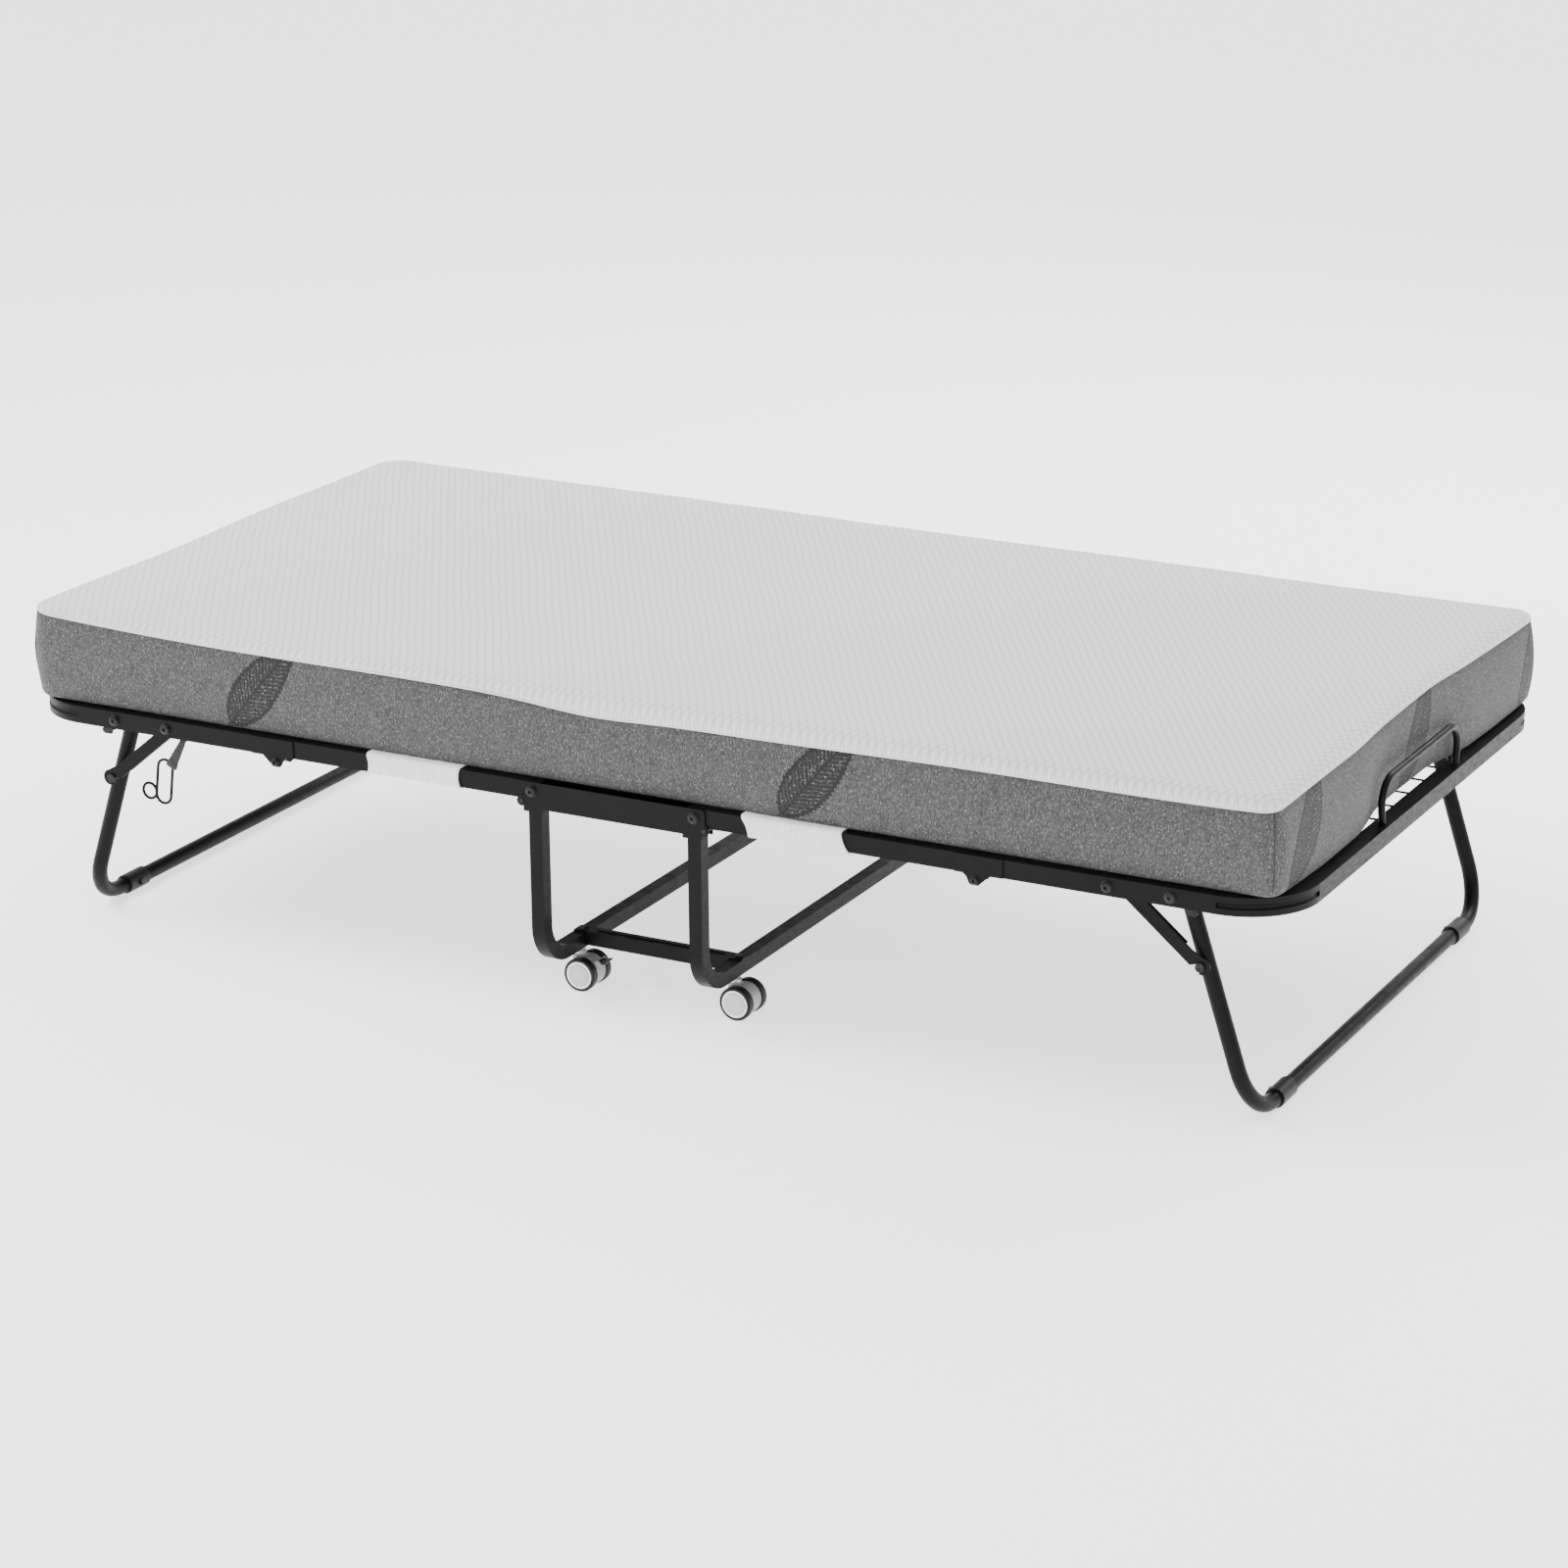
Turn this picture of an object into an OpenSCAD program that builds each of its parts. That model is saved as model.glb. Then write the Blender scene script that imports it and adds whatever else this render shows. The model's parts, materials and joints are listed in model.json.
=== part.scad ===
// Folding cot on castors: two deck halves fold up on a rolling cart, a leg
// swings down under each end, and a foam mattress is strapped to the rails.
// X runs along the bed with the head at -X, Y across it, Z up from the floor.
// Pieces are drawn for the foot end and the +Y side, then mirrored.

/* [Frame] */
// Length of the frame over both end tubes
frame_l = 1936; // [1916:4:1956]
// Width of the frame over the side rails
frame_w = 976; // [960:4:992]
// Height of the middle of the side rails
rail_z = 317.5; // [316:0.5:319]
// Outer radius of the frame corners
corner_r = 100; // [90:5:110]

/* [Fold] */
// Distance from the middle of the bed to each fold pivot
pivot_x = 124; // [122:1:126]
// Distance from the middle of the bed to each carton hinge
hinge_x = 535; // [532:1:538]

/* [End legs] */
// Distance from the middle of the bed to each leg pivot
leg_x = 806; // [804:1:808]
// Distance from the middle of the bed to the foot of each leg
leg_foot_x = 904; // [902:1:906]
// Distance from the middle of the bed to each brace bolt
brace_x = 719; // [717:1:721]

/* [Cart] */
// Height of the middle of the cart's cross bars
cart_bar_z = 68; // [67:0.5:69]
// Diameter of the castor wheels
wheel_d = 48; // [47:0.5:49]
// Distance between the castors across the bed
castor_gap = 754; // [746:2:762]

/* [Mattress] */
// Length of the mattress
mattress_l = 1900; // [1880:4:1904]
// Width of the mattress
mattress_w = 960; // [944:2:966]
// Thickness of the mattress
mattress_t = 132; // [120:1:134]

/* [Hidden] */
$fn = 48;

HEAD = -1;
FOOT = 1;
NEAR = -1;
FAR = 1;

// Frame tube
rail_t = 25;
wall = 1.5;
half_l = frame_l / 2;
rail_out = frame_w / 2;
rail_in = rail_out - rail_t;
rail_y = rail_out - rail_t / 2;
rail_top = rail_z + rail_t / 2;
rail_bot = rail_z - rail_t / 2;
corner_mid_r = corner_r - rail_t / 2;
groove_r = 4;
rail_past_pivot = 12;
joint_gap = 0.6;

// Bolts
bolt_d = 8;
bolt_hole = 8.1;
bolt_head_d = 14;
bolt_head_h = 2.5;
nut_h = 4.5;

// Centre brackets
plate_t = 2;
side_gap = 0.5;
plate_out = rail_out + side_gap + plate_t;
plate_in = rail_in - side_gap - plate_t;
bracket_bot = 293;
bracket_half = pivot_x + 17;
stop_x = pivot_x + 16;
stop_z = rail_bot - 3.5;
stop_d = 6;
lobe_r = 7;

// Carton hinge leaves
leaf_half = 34;
leaf_bolt_z = rail_bot - 8;
leaf_bot = rail_bot - 15;
leaf_bolt_d = 6;

// End legs
leg_d = 22;
leg_y = 436.5;
leg_bend_r = 70;
leg_low_z = 14;
leg_past_pivot = 4;
leg_run = norm([leg_foot_x - leg_x, rail_z - leg_low_z]);
leg_tilt = atan2(leg_foot_x - leg_x, rail_z - leg_low_z);
sleeve_d = 28;
sleeve_l = 46;
sleeve_y = 334;
pin_d = 7;
pin_drop = 103.4;
pin_x = leg_x + pin_drop * sin(leg_tilt);
pin_z = rail_z - pin_drop * cos(leg_tilt);

// Braces
brace_out = 460;
brace_t = 2;
brace_w = 18;
brace_deep = 8;
brace_run = norm([pin_x - brace_x, rail_z - pin_z]);
brace_tilt = atan2(rail_z - pin_z, pin_x - brace_x);

// Wire decks
bar_d = 4;
wire_d = 3;
wire_z = rail_top - wire_d / 2;
bar_z = wire_z - wire_d / 2 - bar_d / 2;
wire_count = 15;
wire_pitch = 60;
deck_start = 170;
wire_past = 5;
deck_bars = [deck_start, 263, 356, 449, 595, 680, 765, 862];

// Mattress
mattress_z = rail_top + 2;
mattress_shift = -6;
mattress_cut = 250;
mattress_corner_r = 25;

// Straps
strap_w = 148;
strap_t = 1.2;
strap_gap = 0.3;
strap_tuck = 30;
head_strap_x = 311;
foot_strap_x = 274;

// Cart
cart_t = 20;
cart_x = pivot_x - 2;
cart_y = rail_y;
cart_bend_r = 52;
saddle_w = 30;
saddle_drop = 5;
floor_half = cart_x + cart_t / 2 + 2;
tie_y = 365;
tie_w = 20;
tie_h = 18;
tab_t = 2;

// Castors
castor_y = castor_gap / 2;
trail = 12;
wheel_w = 13;
castor_w = 50;
housing_w = castor_w - 2 * wheel_w - 1;
axle_z = wheel_d / 2;
axle_d = 8;
hub_d = 39;
cap_t = 1.5;
cart_bot = cart_bar_z - cart_t / 2;
stem_d = 8;
collar_z = axle_z + 24.5;
collar_h = 3.5;
socket_h = 2.5;
lever_x = 21.5;
lever_z = 14.7;
lever_pin_d = 3;
ear_d = 11;
ear_t = 2.5;

// Retaining handle
handle_d = 10;
handle_x = half_l - 10;
handle_half = 140;
handle_h = 60;
handle_bend_r = 34;
handle_splay = 12;

// Latch
latch_x = 699;
latch_drop = 5;
latch_z = rail_bot - latch_drop;
latch_tilt = 27;
latch_run = 46;
latch_top_w = 8;
latch_end_w = 17;
hook_wire_d = 4;
hook_r = 12.2;
hook_l = 41;
hook_tilt = 7;
hook_x = 31;
hook_drop = 44;
ring_r = 11.3;

module at_end(end) { mirror([end < 0 ? 1 : 0, 0, 0]) children(); }
module at_side(side) { mirror([0, side < 0 ? 1 : 0, 0]) children(); }
module both_sides() {
    children();
    mirror([0, 1, 0]) children();
}

// Rod along Y between y0 and y1
module rod_y(x, z, d, y0, y1) {
    translate([x, y0, z]) rotate([-90, 0, 0]) cylinder(d = d, h = y1 - y0);
}

// Flat outline drawn in X and Z, thickened from y0 to y1
module plate_y(y0, y1) {
    translate([0, y1, 0]) rotate([90, 0, 0]) linear_extrude(height = y1 - y0) children();
}

// Bolt along Y: hexagon nut at y_nut, washer and socketed head at y_head
module bolt_y(x, z, y_nut, y_head, d = bolt_d, head_d = bolt_head_d) {
    rod_y(x, z, d, y_nut - nut_h + 0.5, y_head + 1);
    rod_y(x, z, head_d + 3, y_head, y_head + 1);
    translate([x, y_head + 1, z]) rotate([-90, 0, 0])
        difference() {
            union() {
                cylinder(d = head_d, h = bolt_head_h);
                translate([0, 0, bolt_head_h]) cylinder(d1 = head_d, d2 = head_d - 5, h = 1.5);
            }
            translate([0, 0, 1.5]) cylinder(d = 5, h = 4, $fn = 6);
        }
    translate([x, y_nut - nut_h, z]) rotate([-90, 0, 0]) cylinder(d = 1.75 * d, h = nut_h, $fn = 6);
}

// Sweeps a profile along +X and through left turns: each step is [run, turn, radius].
// The first child is the profile of the runs, the last child that of the bends.
module bent_path(steps, i = 0) {
    if (i < len(steps)) {
        run = steps[i][0];
        turn = steps[i][1];
        r = steps[i][2];
        rotate([90, 0, 90]) linear_extrude(height = run) children(0);
        if (turn > 0)
            translate([run, r, 0]) {
                rotate([0, 0, -90]) rotate_extrude(angle = turn, $fn = 72)
                    translate([r, 0]) children($children - 1);
                rotate([0, 0, turn]) translate([0, -r, 0])
                    bent_path(steps, i + 1) {
                        children(0);
                        children($children - 1);
                    }
            }
    }
}

module square_tube(side) {
    difference() {
        square(side, center = true);
        square(side - 2 * wall, center = true);
    }
}

// Square tube with a groove pressed into its outer wall, as a bender leaves it
module grooved_tube(side) {
    difference() {
        square(side, center = true);
        translate([side / 2 + 1, 0]) circle(r = groove_r);
        difference() {
            square(side - 2 * wall, center = true);
            translate([side / 2 + 1, 0]) circle(r = groove_r + wall);
        }
    }
}

module round_tube(d) {
    difference() {
        circle(d = d);
        circle(d = d - 2 * wall);
    }
}

// ---- cart ----

// Outline of a centre bracket plate, with a lobe round each stop pin
module bracket_outline() {
    difference() {
        union() {
            translate([-bracket_half, stop_z]) square([2 * bracket_half, rail_top - stop_z - 6]);
            translate([-bracket_half + 6, rail_top - 8]) square([2 * bracket_half - 12, 8]);
            for (s = [-1, 1]) {
                translate([s * (bracket_half - 6), rail_top - 6]) circle(r = 6);
                translate([s * stop_x, stop_z]) circle(r = lobe_r);
            }
            translate([-stop_x + 4, bracket_bot]) square([2 * stop_x - 8, 20]);
            for (s = [-1, 1])
                translate([s * cart_x - saddle_w / 2, bracket_bot - saddle_drop])
                    square([saddle_w, 2 * saddle_drop]);
        }
        for (s = [-1, 1]) {
            translate([s * pivot_x, rail_z]) circle(d = bolt_hole);
            translate([s * stop_x, stop_z]) circle(d = 4.1);
        }
        translate([-bracket_half + 4, stop_z + 9.5]) circle(d = 2.6);
    }
}

// Channel that carries both fold pivots of one side; the cart legs are welded under its floor
module centre_bracket() {
    plate_y(plate_out - plate_t, plate_out) bracket_outline();
    plate_y(plate_in, plate_in + plate_t) bracket_outline();
    translate([-floor_half, plate_in, bracket_bot])
        cube([2 * floor_half, plate_out - plate_in, plate_t]);
}

// Shouldered pins just under the rails: the opened halves rest on them
module bracket_stop_pins() {
    color("#222222")
    both_sides()
        for (s = [-1, 1]) {
            rod_y(s * stop_x, stop_z, stop_d, plate_in + plate_t, plate_out - plate_t);
            rod_y(s * stop_x, stop_z, 4, plate_in - 0.5, plate_out + 0.5);
            rod_y(s * stop_x, stop_z, 7, plate_out, plate_out + 1.5);
            rod_y(s * stop_x, stop_z, 7, plate_in - 1.5, plate_in);
        }
}

// Fold pivots, and the small screws under each bracket
module bracket_bolts() {
    color("#222222")
    both_sides()
        for (s = [-1, 1]) {
            bolt_y(s * pivot_x, rail_z, plate_in, plate_out);
            translate([s * (pivot_x - 34), rail_y, bracket_bot - 3]) cylinder(d = 8, h = 3);
        }
}

module cart_frame(end) {
    color("#1b1b1c")
    difference() {
        translate([end * cart_x, -cart_y, bracket_bot]) rotate([0, 90, 0]) {
            drop = bracket_bot - cart_bar_z - cart_bend_r;
            bent_path([[drop, 90, cart_bend_r], [2 * (cart_y - cart_bend_r), 90, cart_bend_r],
                [drop, 0, 0]]) {
                square_tube(cart_t);
                square_tube(cart_t);
            }
        }
        both_sides() {
            translate([end * cart_x, castor_y, cart_bot - 1]) cylinder(d = 12, h = 4);
            for (x = tie_fasteners(end))
                translate([x[0], x[1], cart_bot + cart_t - 3]) cylinder(d = 5, h = 5);
        }
    }
}

// Two rivets hold each tie rail at the head end and one bolt at the foot end
function tie_fasteners(end) =
    end < 0 ? [[-cart_x, tie_y - 4.5], [-cart_x, tie_y + 4.5]] : [[cart_x, tie_y]];

// Channel that ties the two cart frames, with a flat tab on each cross bar
module cart_rail() {
    color("#1b1b1c")
    difference() {
        reach = cart_x - cart_t / 2;
        top = cart_bot + cart_t;
        union() {
            translate([-reach, tie_y - tie_w / 2, top - tie_h]) cube([2 * reach, tie_w, tie_h]);
            translate([-reach - cart_t, tie_y - tie_w / 2, top])
                cube([2 * (reach + cart_t), tie_w, tab_t]);
            translate([-reach + 12, tie_y - 1, top + tab_t]) cube([2 * reach - 24, 2, 1]);
        }
        translate([-reach - 1, tie_y - tie_w / 2 + plate_t, top - tie_h - 1])
            cube([2 * reach + 2, tie_w - 2 * plate_t, tie_h + 1]);
        for (end = [HEAD, FOOT], x = tie_fasteners(end))
            translate([x[0], x[1], top - 1]) cylinder(d = 5, h = tab_t + 2);
    }
}

module cart_rivets() {
    color("#303030")
    both_sides()
        for (end = [HEAD, FOOT], x = tie_fasteners(end))
            translate([x[0], x[1], cart_bot + cart_t - wall]) {
                cylinder(d = 5, h = tab_t + wall);
                translate([0, 0, tab_t + wall]) cylinder(d = end < 0 ? 8 : 11, h = 2);
            }
}

// Plastic plugs in the cart tubes that take the castor stems
module castor_sockets() {
    color("#b8b8b8")
    both_sides()
        for (end = [HEAD, FOOT])
            translate([end * cart_x, castor_y, 0])
                difference() {
                    union() {
                        translate([0, 0, cart_bot - socket_h]) cylinder(d = 17, h = socket_h);
                        translate([0, 0, cart_bot]) cylinder(d = 12, h = 16);
                    }
                    translate([0, 0, cart_bot - socket_h - 1]) cylinder(d = stem_d + 0.1, h = 18);
                }
}

// ---- castors ----

module at_castor(end, side) { translate([end * cart_x, side * castor_y, 0]) children(); }

// Hood between the two wheels, with the axle and, on a braked castor, the lever's pin
module housing(end, side) {
    color("#2a2a2b")
    at_castor(end, side) {
        difference() {
            union() {
                rod_y(trail, axle_z, wheel_d - 4, -housing_w / 2, housing_w / 2);
                translate([0, 0, axle_z]) cylinder(d = 20, h = collar_z - axle_z);
                if (end < 0)
                    for (y = [-housing_w / 2, housing_w / 2 - ear_t])
                        rod_y(trail + lever_x, axle_z + lever_z, ear_d, y, y + ear_t);
            }
            translate([trail - wheel_d, -castor_w, -1]) cube([2 * wheel_d, 2 * castor_w, 9]);
            translate([0, 0, axle_z + 9]) cylinder(d = stem_d, h = 20);
        }
        rod_y(trail, axle_z, axle_d, -castor_w / 2 + 2, castor_w / 2 - 2);
        if (end < 0)
            rod_y(trail + lever_x, axle_z + lever_z, lever_pin_d, -housing_w / 2, housing_w / 2);
    }
}

module stem(end, side) {
    color("#c8c8c8")
    at_castor(end, side) {
        translate([0, 0, axle_z + 9]) cylinder(d = stem_d, h = cart_bot + 14 - axle_z - 9);
        translate([0, 0, collar_z]) cylinder(d = 18, h = collar_h);
    }
}

// Half section of a tyre about its axle, recessed for the hub cap
module tyre_section() {
    r = wheel_d / 2;
    w = wheel_w / 2;
    soft = 2.5;
    bore = axle_d / 2 + 0.06;
    difference() {
        union() {
            translate([bore, -w]) square([r - soft - bore, 2 * w]);
            translate([bore, soft - w]) square([r - bore, 2 * (w - soft)]);
            for (s = [-1, 1])
                translate([r - soft, s * (w - soft)]) circle(r = soft, $fn = 24);
        }
        translate([0, w - cap_t]) square([hub_d / 2, 2 * cap_t]);
    }
}

module wheels(end, side) {
    color("#1c1c1c")
    at_castor(end, side)
        both_sides()
            translate([trail, castor_w / 2 - wheel_w / 2, axle_z]) rotate([-90, 0, 0])
                rotate_extrude($fn = 96) tyre_section();
}

module hub_caps(end, side) {
    color("#d5d5d5")
    at_castor(end, side)
        both_sides() {
            rod_y(trail, axle_z, hub_d - 0.2, castor_w / 2 - cap_t, castor_w / 2 - 0.3);
            rod_y(trail, axle_z, hub_d - 8, castor_w / 2 - 0.3, castor_w / 2 + 0.4);
        }
}

module brake_lever(side) {
    barrel = housing_w / 2 - 2.8;
    color("#1c1c1c")
    at_castor(HEAD, side)
        translate([trail + lever_x, 0, axle_z + lever_z])
            plate_y(-barrel, barrel)
                difference() {
                    union() {
                        circle(d = 7);
                        polygon([[0, -1.6], [11, 1.8], [14, 5], [13, 6.5], [0, 2.4]]);
                    }
                    circle(d = lever_pin_d + 0.1);
                }
}

// ---- deck halves ----

// End tube with both corners, reaching to the carton hinges
module end_frame(end) {
    start = hinge_x + joint_gap / 2;
    color("#1b1b1c")
    at_end(end)
        difference() {
            translate([start, -rail_y, rail_z])
                bent_path([[half_l - corner_r - start, 90, corner_mid_r],
                    [2 * (rail_y - corner_mid_r), 90, corner_mid_r],
                    [half_l - corner_r - start, 0, 0]]) {
                    square_tube(rail_t);
                    grooved_tube(rail_t);
                }
            both_sides()
                for (x = [leg_x, brace_x])
                    rod_y(x, rail_z, bolt_hole, rail_in - 1, rail_out + 1);
        }
}

// Straight rail between a fold pivot and a carton hinge
module side_rail(end, side) {
    start = pivot_x - rail_past_pivot;
    color("#1b1b1c")
    at_end(end) at_side(side)
        difference() {
            translate([start, rail_y, rail_z]) rotate([90, 0, 90])
                linear_extrude(height = hinge_x - joint_gap / 2 - start) square_tube(rail_t);
            rod_y(pivot_x, rail_z, bolt_hole, rail_in - 1, rail_out + 1);
        }
}

// Hinge leaf: a rail-high plate whose lower edge runs down to a bolt lobe
module leaf_outline() {
    difference() {
        union() {
            translate([hinge_x - leaf_half + 5, rail_bot]) square([2 * leaf_half, rail_t]);
            polygon([[hinge_x + 22, rail_bot + 1], [hinge_x + 8, leaf_bot + 3],
                [hinge_x + 5, leaf_bot], [hinge_x - 6, leaf_bot], [hinge_x - 9, leaf_bot + 3],
                [hinge_x - 12, rail_bot - 5], [hinge_x - 18, rail_bot + 1]]);
        }
        translate([hinge_x, leaf_bolt_z]) circle(d = leaf_bolt_d + 0.1);
    }
}

module hinge_leaves(end) {
    color("#1b1b1c")
    at_end(end) both_sides() {
        plate_y(rail_out, rail_out + plate_t) leaf_outline();
        plate_y(rail_in - plate_t, rail_in) leaf_outline();
    }
}

// Bolts of one half: leg pivots and brace pivots with their spacers, carton hinge bolts
module frame_bolts(end) {
    color("#222222")
    at_end(end) both_sides() {
        bolt_y(leg_x, rail_z, leg_y - leg_d / 2 - 0.3, rail_out);
        rod_y(leg_x, rail_z, 14, leg_y + leg_d / 2 + 0.3, rail_in);
        bolt_y(brace_x, rail_z, brace_out - brace_deep - 0.3 + 5.5, rail_out);
        rod_y(brace_x, rail_z, 14, brace_out + 0.3, rail_in);
        bolt_y(hinge_x, leaf_bolt_z, rail_in - plate_t, rail_out + plate_t, leaf_bolt_d, 10);
        rod_y(hinge_x, leaf_bolt_z, 9, rail_in, rail_out);
    }
}

// Where a long wire at y meets the inner face of the end tube or of its corner
function wire_end(y) =
    let (past = max(0, abs(y) + wire_d / 2 - rail_out + corner_r), r = corner_r - rail_t)
    half_l - corner_r + sqrt(r * r - past * past);

// Cross bars welded between the rails, with long wires on top of them
module wire_deck(end) {
    color("#1b1b1c")
    at_end(end) {
        for (x = deck_bars)
            rod_y(x, bar_z, bar_d, -rail_in, rail_in);
        for (i = [0:wire_count - 1]) {
            y = wire_pitch * (i - (wire_count - 1) / 2);
            translate([deck_start - wire_past, y, wire_z]) rotate([0, 90, 0])
                cylinder(d = wire_d, h = wire_end(y) - deck_start + wire_past, $fn = 24);
        }
    }
}

// Small cranked tab under each rail, with a cross pin that the opened leg leans on
module leg_stops(end) {
    post_x = leg_x + 23.3;
    post_z = rail_bot - 9;
    color("#303030")
    at_end(end) both_sides() {
        plate_y(rail_in + 8, rail_in + 11)
            polygon([[leg_x + 14, rail_bot], [leg_x + 27, rail_bot], [leg_x + 33, rail_bot - 9],
                [leg_x + 29, rail_bot - 14], [leg_x + 17, rail_bot - 14]]);
        rod_y(post_x, post_z, 8, leg_y - 6, rail_in + 8);
    }
}

// Elastic loops round the rails, tucked under the mattress
module straps(end, mid) {
    inner = rail_t / 2 + strap_gap;
    color("#f0f0ee")
    at_end(end) both_sides()
        difference() {
            translate([mid - strap_w / 2, rail_y, rail_z]) rotate([90, 0, 90])
                linear_extrude(height = strap_w)
                    difference() {
                        union() {
                            square(2 * (inner + strap_t), center = true);
                            translate([-inner - strap_tuck, inner]) square([2 * strap_tuck, strap_t]);
                        }
                        square(2 * inner, center = true);
                    }
            for (x = deck_bars)
                rod_y(x, bar_z, bar_d + 1, rail_in - 10, rail_in + 5);
            for (i = [0:wire_count - 1])
                translate([mid, wire_pitch * (i - (wire_count - 1) / 2), wire_z])
                    cube([2 * strap_w, wire_d + 1, wire_d + 1], center = true);
        }
}

// Slab of foam from x0 to x1, with round upright corners at its outer end
module mattress_slab(x0, x1, end = 0) {
    r = mattress_corner_r;
    low = end < 0 ? x0 + r : x0;
    high = end > 0 ? x1 - r : x1;
    color("#e8e8e8")
    translate([0, 0, mattress_z]) linear_extrude(height = mattress_t) {
        translate([low, -mattress_w / 2]) square([high - low, mattress_w]);
        translate([x0, r - mattress_w / 2]) square([x1 - x0, mattress_w - 2 * r]);
        if (end != 0)
            for (s = [-1, 1])
                translate([end < 0 ? low : high, s * (mattress_w / 2 - r)]) circle(r = r);
    }
}

module retaining_handle() {
    leg = (handle_h - handle_bend_r * (1 + sin(handle_splay))) / cos(handle_splay);
    turn = 90 + handle_splay;
    top = 2 * (handle_half + leg * sin(handle_splay) - handle_bend_r * cos(handle_splay));
    color("#222222")
    difference() {
        translate([handle_x, -handle_half, rail_top]) rotate([0, -90, 0]) rotate([0, 0, -handle_splay])
            translate([-4, 0, 0])
                bent_path([[leg + 4, turn, handle_bend_r], [top, turn, handle_bend_r], [leg + 4, 0, 0]]) {
                    circle(d = handle_d);
                    circle(d = handle_d);
                }
        translate([handle_x - 20, -2 * handle_half, rail_top - 20])
            cube([40, 4 * handle_half, 20]);
    }
}

// ---- legs and braces ----

module leg(end) {
    color("#1b1b1c")
    at_end(end)
        difference() {
            translate([leg_x, -leg_y, rail_z]) rotate([0, 90 - leg_tilt, 0])
                translate([-leg_past_pivot, 0, 0])
                    bent_path([[leg_run - leg_bend_r + leg_past_pivot, 90, leg_bend_r],
                        [2 * (leg_y - leg_bend_r), 90, leg_bend_r],
                        [leg_run - leg_bend_r + leg_past_pivot, 0, 0]]) {
                        round_tube(leg_d);
                        round_tube(leg_d);
                    }
            both_sides() {
                rod_y(leg_x, rail_z, bolt_hole, leg_y - leg_d, leg_y + leg_d);
                rod_y(pin_x, pin_z, pin_d + 0.1, leg_y - leg_d, leg_y + leg_d);
            }
        }
}

module leg_sleeves(end) {
    color("#1c1c1c")
    at_end(end) both_sides()
        translate([leg_foot_x, sleeve_y, leg_low_z])
            difference() {
                union() {
                    rod_y(0, 0, sleeve_d, -sleeve_l / 2, sleeve_l / 2);
                    translate([-sleeve_d / 2 - 3, -4, -4]) cube([8, 8, 8]);
                }
                rod_y(0, 0, leg_d + 0.1, -sleeve_l, sleeve_l);
            }
}

module leg_pins(end) {
    color("#303030")
    at_end(end) both_sides() {
        rod_y(pin_x, pin_z, pin_d, leg_y - leg_d / 2 - 2, brace_out + 2.6);
        rod_y(pin_x, pin_z, 11, leg_y + leg_d / 2, brace_out - brace_t - 0.4);
        rod_y(pin_x, pin_z, 13, brace_out + 0.5, brace_out + 2.8);
        rod_y(pin_x, pin_z, 11, leg_y - leg_d / 2 - 2, leg_y - leg_d / 2 - 0.3);
    }
}

// Face of a brace from its bolt to its hooked end, which drops over the leg pin
module brace_outline() {
    end_r = 11.5;
    slot = pin_d / 2 + 0.6;
    difference() {
        union() {
            circle(d = brace_w);
            translate([0, -brace_w / 2]) square([brace_run - 24, brace_w]);
            translate([brace_run + 1, 2]) circle(r = end_r);
            polygon([[brace_run - 34, -brace_w / 2], [brace_run - 34, brace_w / 2],
                [brace_run - 22, brace_w / 2], [brace_run - 3, end_r + 1], [brace_run, -8],
                [brace_run - 8, -brace_w / 2]]);
        }
        circle(d = bolt_hole);
        translate([brace_run, 0]) circle(r = slot);
        polygon([[brace_run + slot, 0], [brace_run + slot, -32], [brace_run - 28, -32],
            [brace_run - slot, 2.5]]);
    }
}

module braces(end) {
    flange = brace_run - 50;
    color("#1b1b1c")
    at_end(end) both_sides()
        translate([brace_x, brace_out, rail_z]) rotate([0, brace_tilt, 0]) rotate([90, 0, 0]) {
            linear_extrude(height = brace_t) brace_outline();
            for (y = [-brace_w / 2, brace_w / 2 - brace_t])
                translate([16, y, 0]) cube([flange, brace_t, brace_deep]);
            translate([20, -3, 0]) cube([flange - 4, 6, brace_t + 2]);
        }
}

// ---- latch ----

// Two ears and a pin under the near rail
module latch_clip() {
    color("#303030")
    at_end(HEAD) at_side(NEAR) {
        for (y = [rail_y - 3, rail_y + 1.4])
            plate_y(y, y + 1.6) {
                translate([latch_x - 4, latch_z]) square([8, latch_drop]);
                translate([latch_x, latch_z]) circle(r = 4);
            }
        rod_y(latch_x, latch_z, 3, rail_y - 3, rail_y + 3);
    }
}

// Webbing that hangs from the clip and widens toward the hook
module latch_strap() {
    color("#1c1c1c")
    at_end(HEAD) at_side(NEAR)
        plate_y(rail_y - 1, rail_y + 1)
            translate([latch_x, latch_z]) rotate(latch_tilt)
                difference() {
                    union() {
                        circle(r = 4.4);
                        polygon([[-latch_top_w / 2, -1], [latch_top_w / 2, -1],
                            [latch_end_w / 2, -latch_run], [-latch_end_w / 2, -latch_run]]);
                    }
                    circle(d = 3.1);
                }
}

// Part turn of the hook's wire about its own middle, starting at +X
module hook_arc(r, angle) { rotate_extrude(angle = angle) translate([r, 0]) circle(d = hook_wire_d, $fn = 24); }

// Wire hook: a long loop through the end of the webbing, and a finger ring beside its lower end
module latch_hook() {
    color("#1c1c1c")
    translate([-latch_x - hook_x, -rail_y - 1 - hook_wire_d / 2 - 0.2, latch_z - hook_drop])
        rotate([90, 0, 0]) rotate(-hook_tilt) {
            for (s = [-1, 1])
                translate([s * hook_r, 0, 0]) rotate([90, 0, 0]) cylinder(d = hook_wire_d, h = hook_l);
            hook_arc(hook_r, 180);
            translate([0, -hook_l, 0]) rotate(180) hook_arc(hook_r, 180);
            translate([-hook_r - ring_r, -hook_l - hook_r + ring_r + 1, 0]) hook_arc(ring_r, 360);
        }
}

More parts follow.
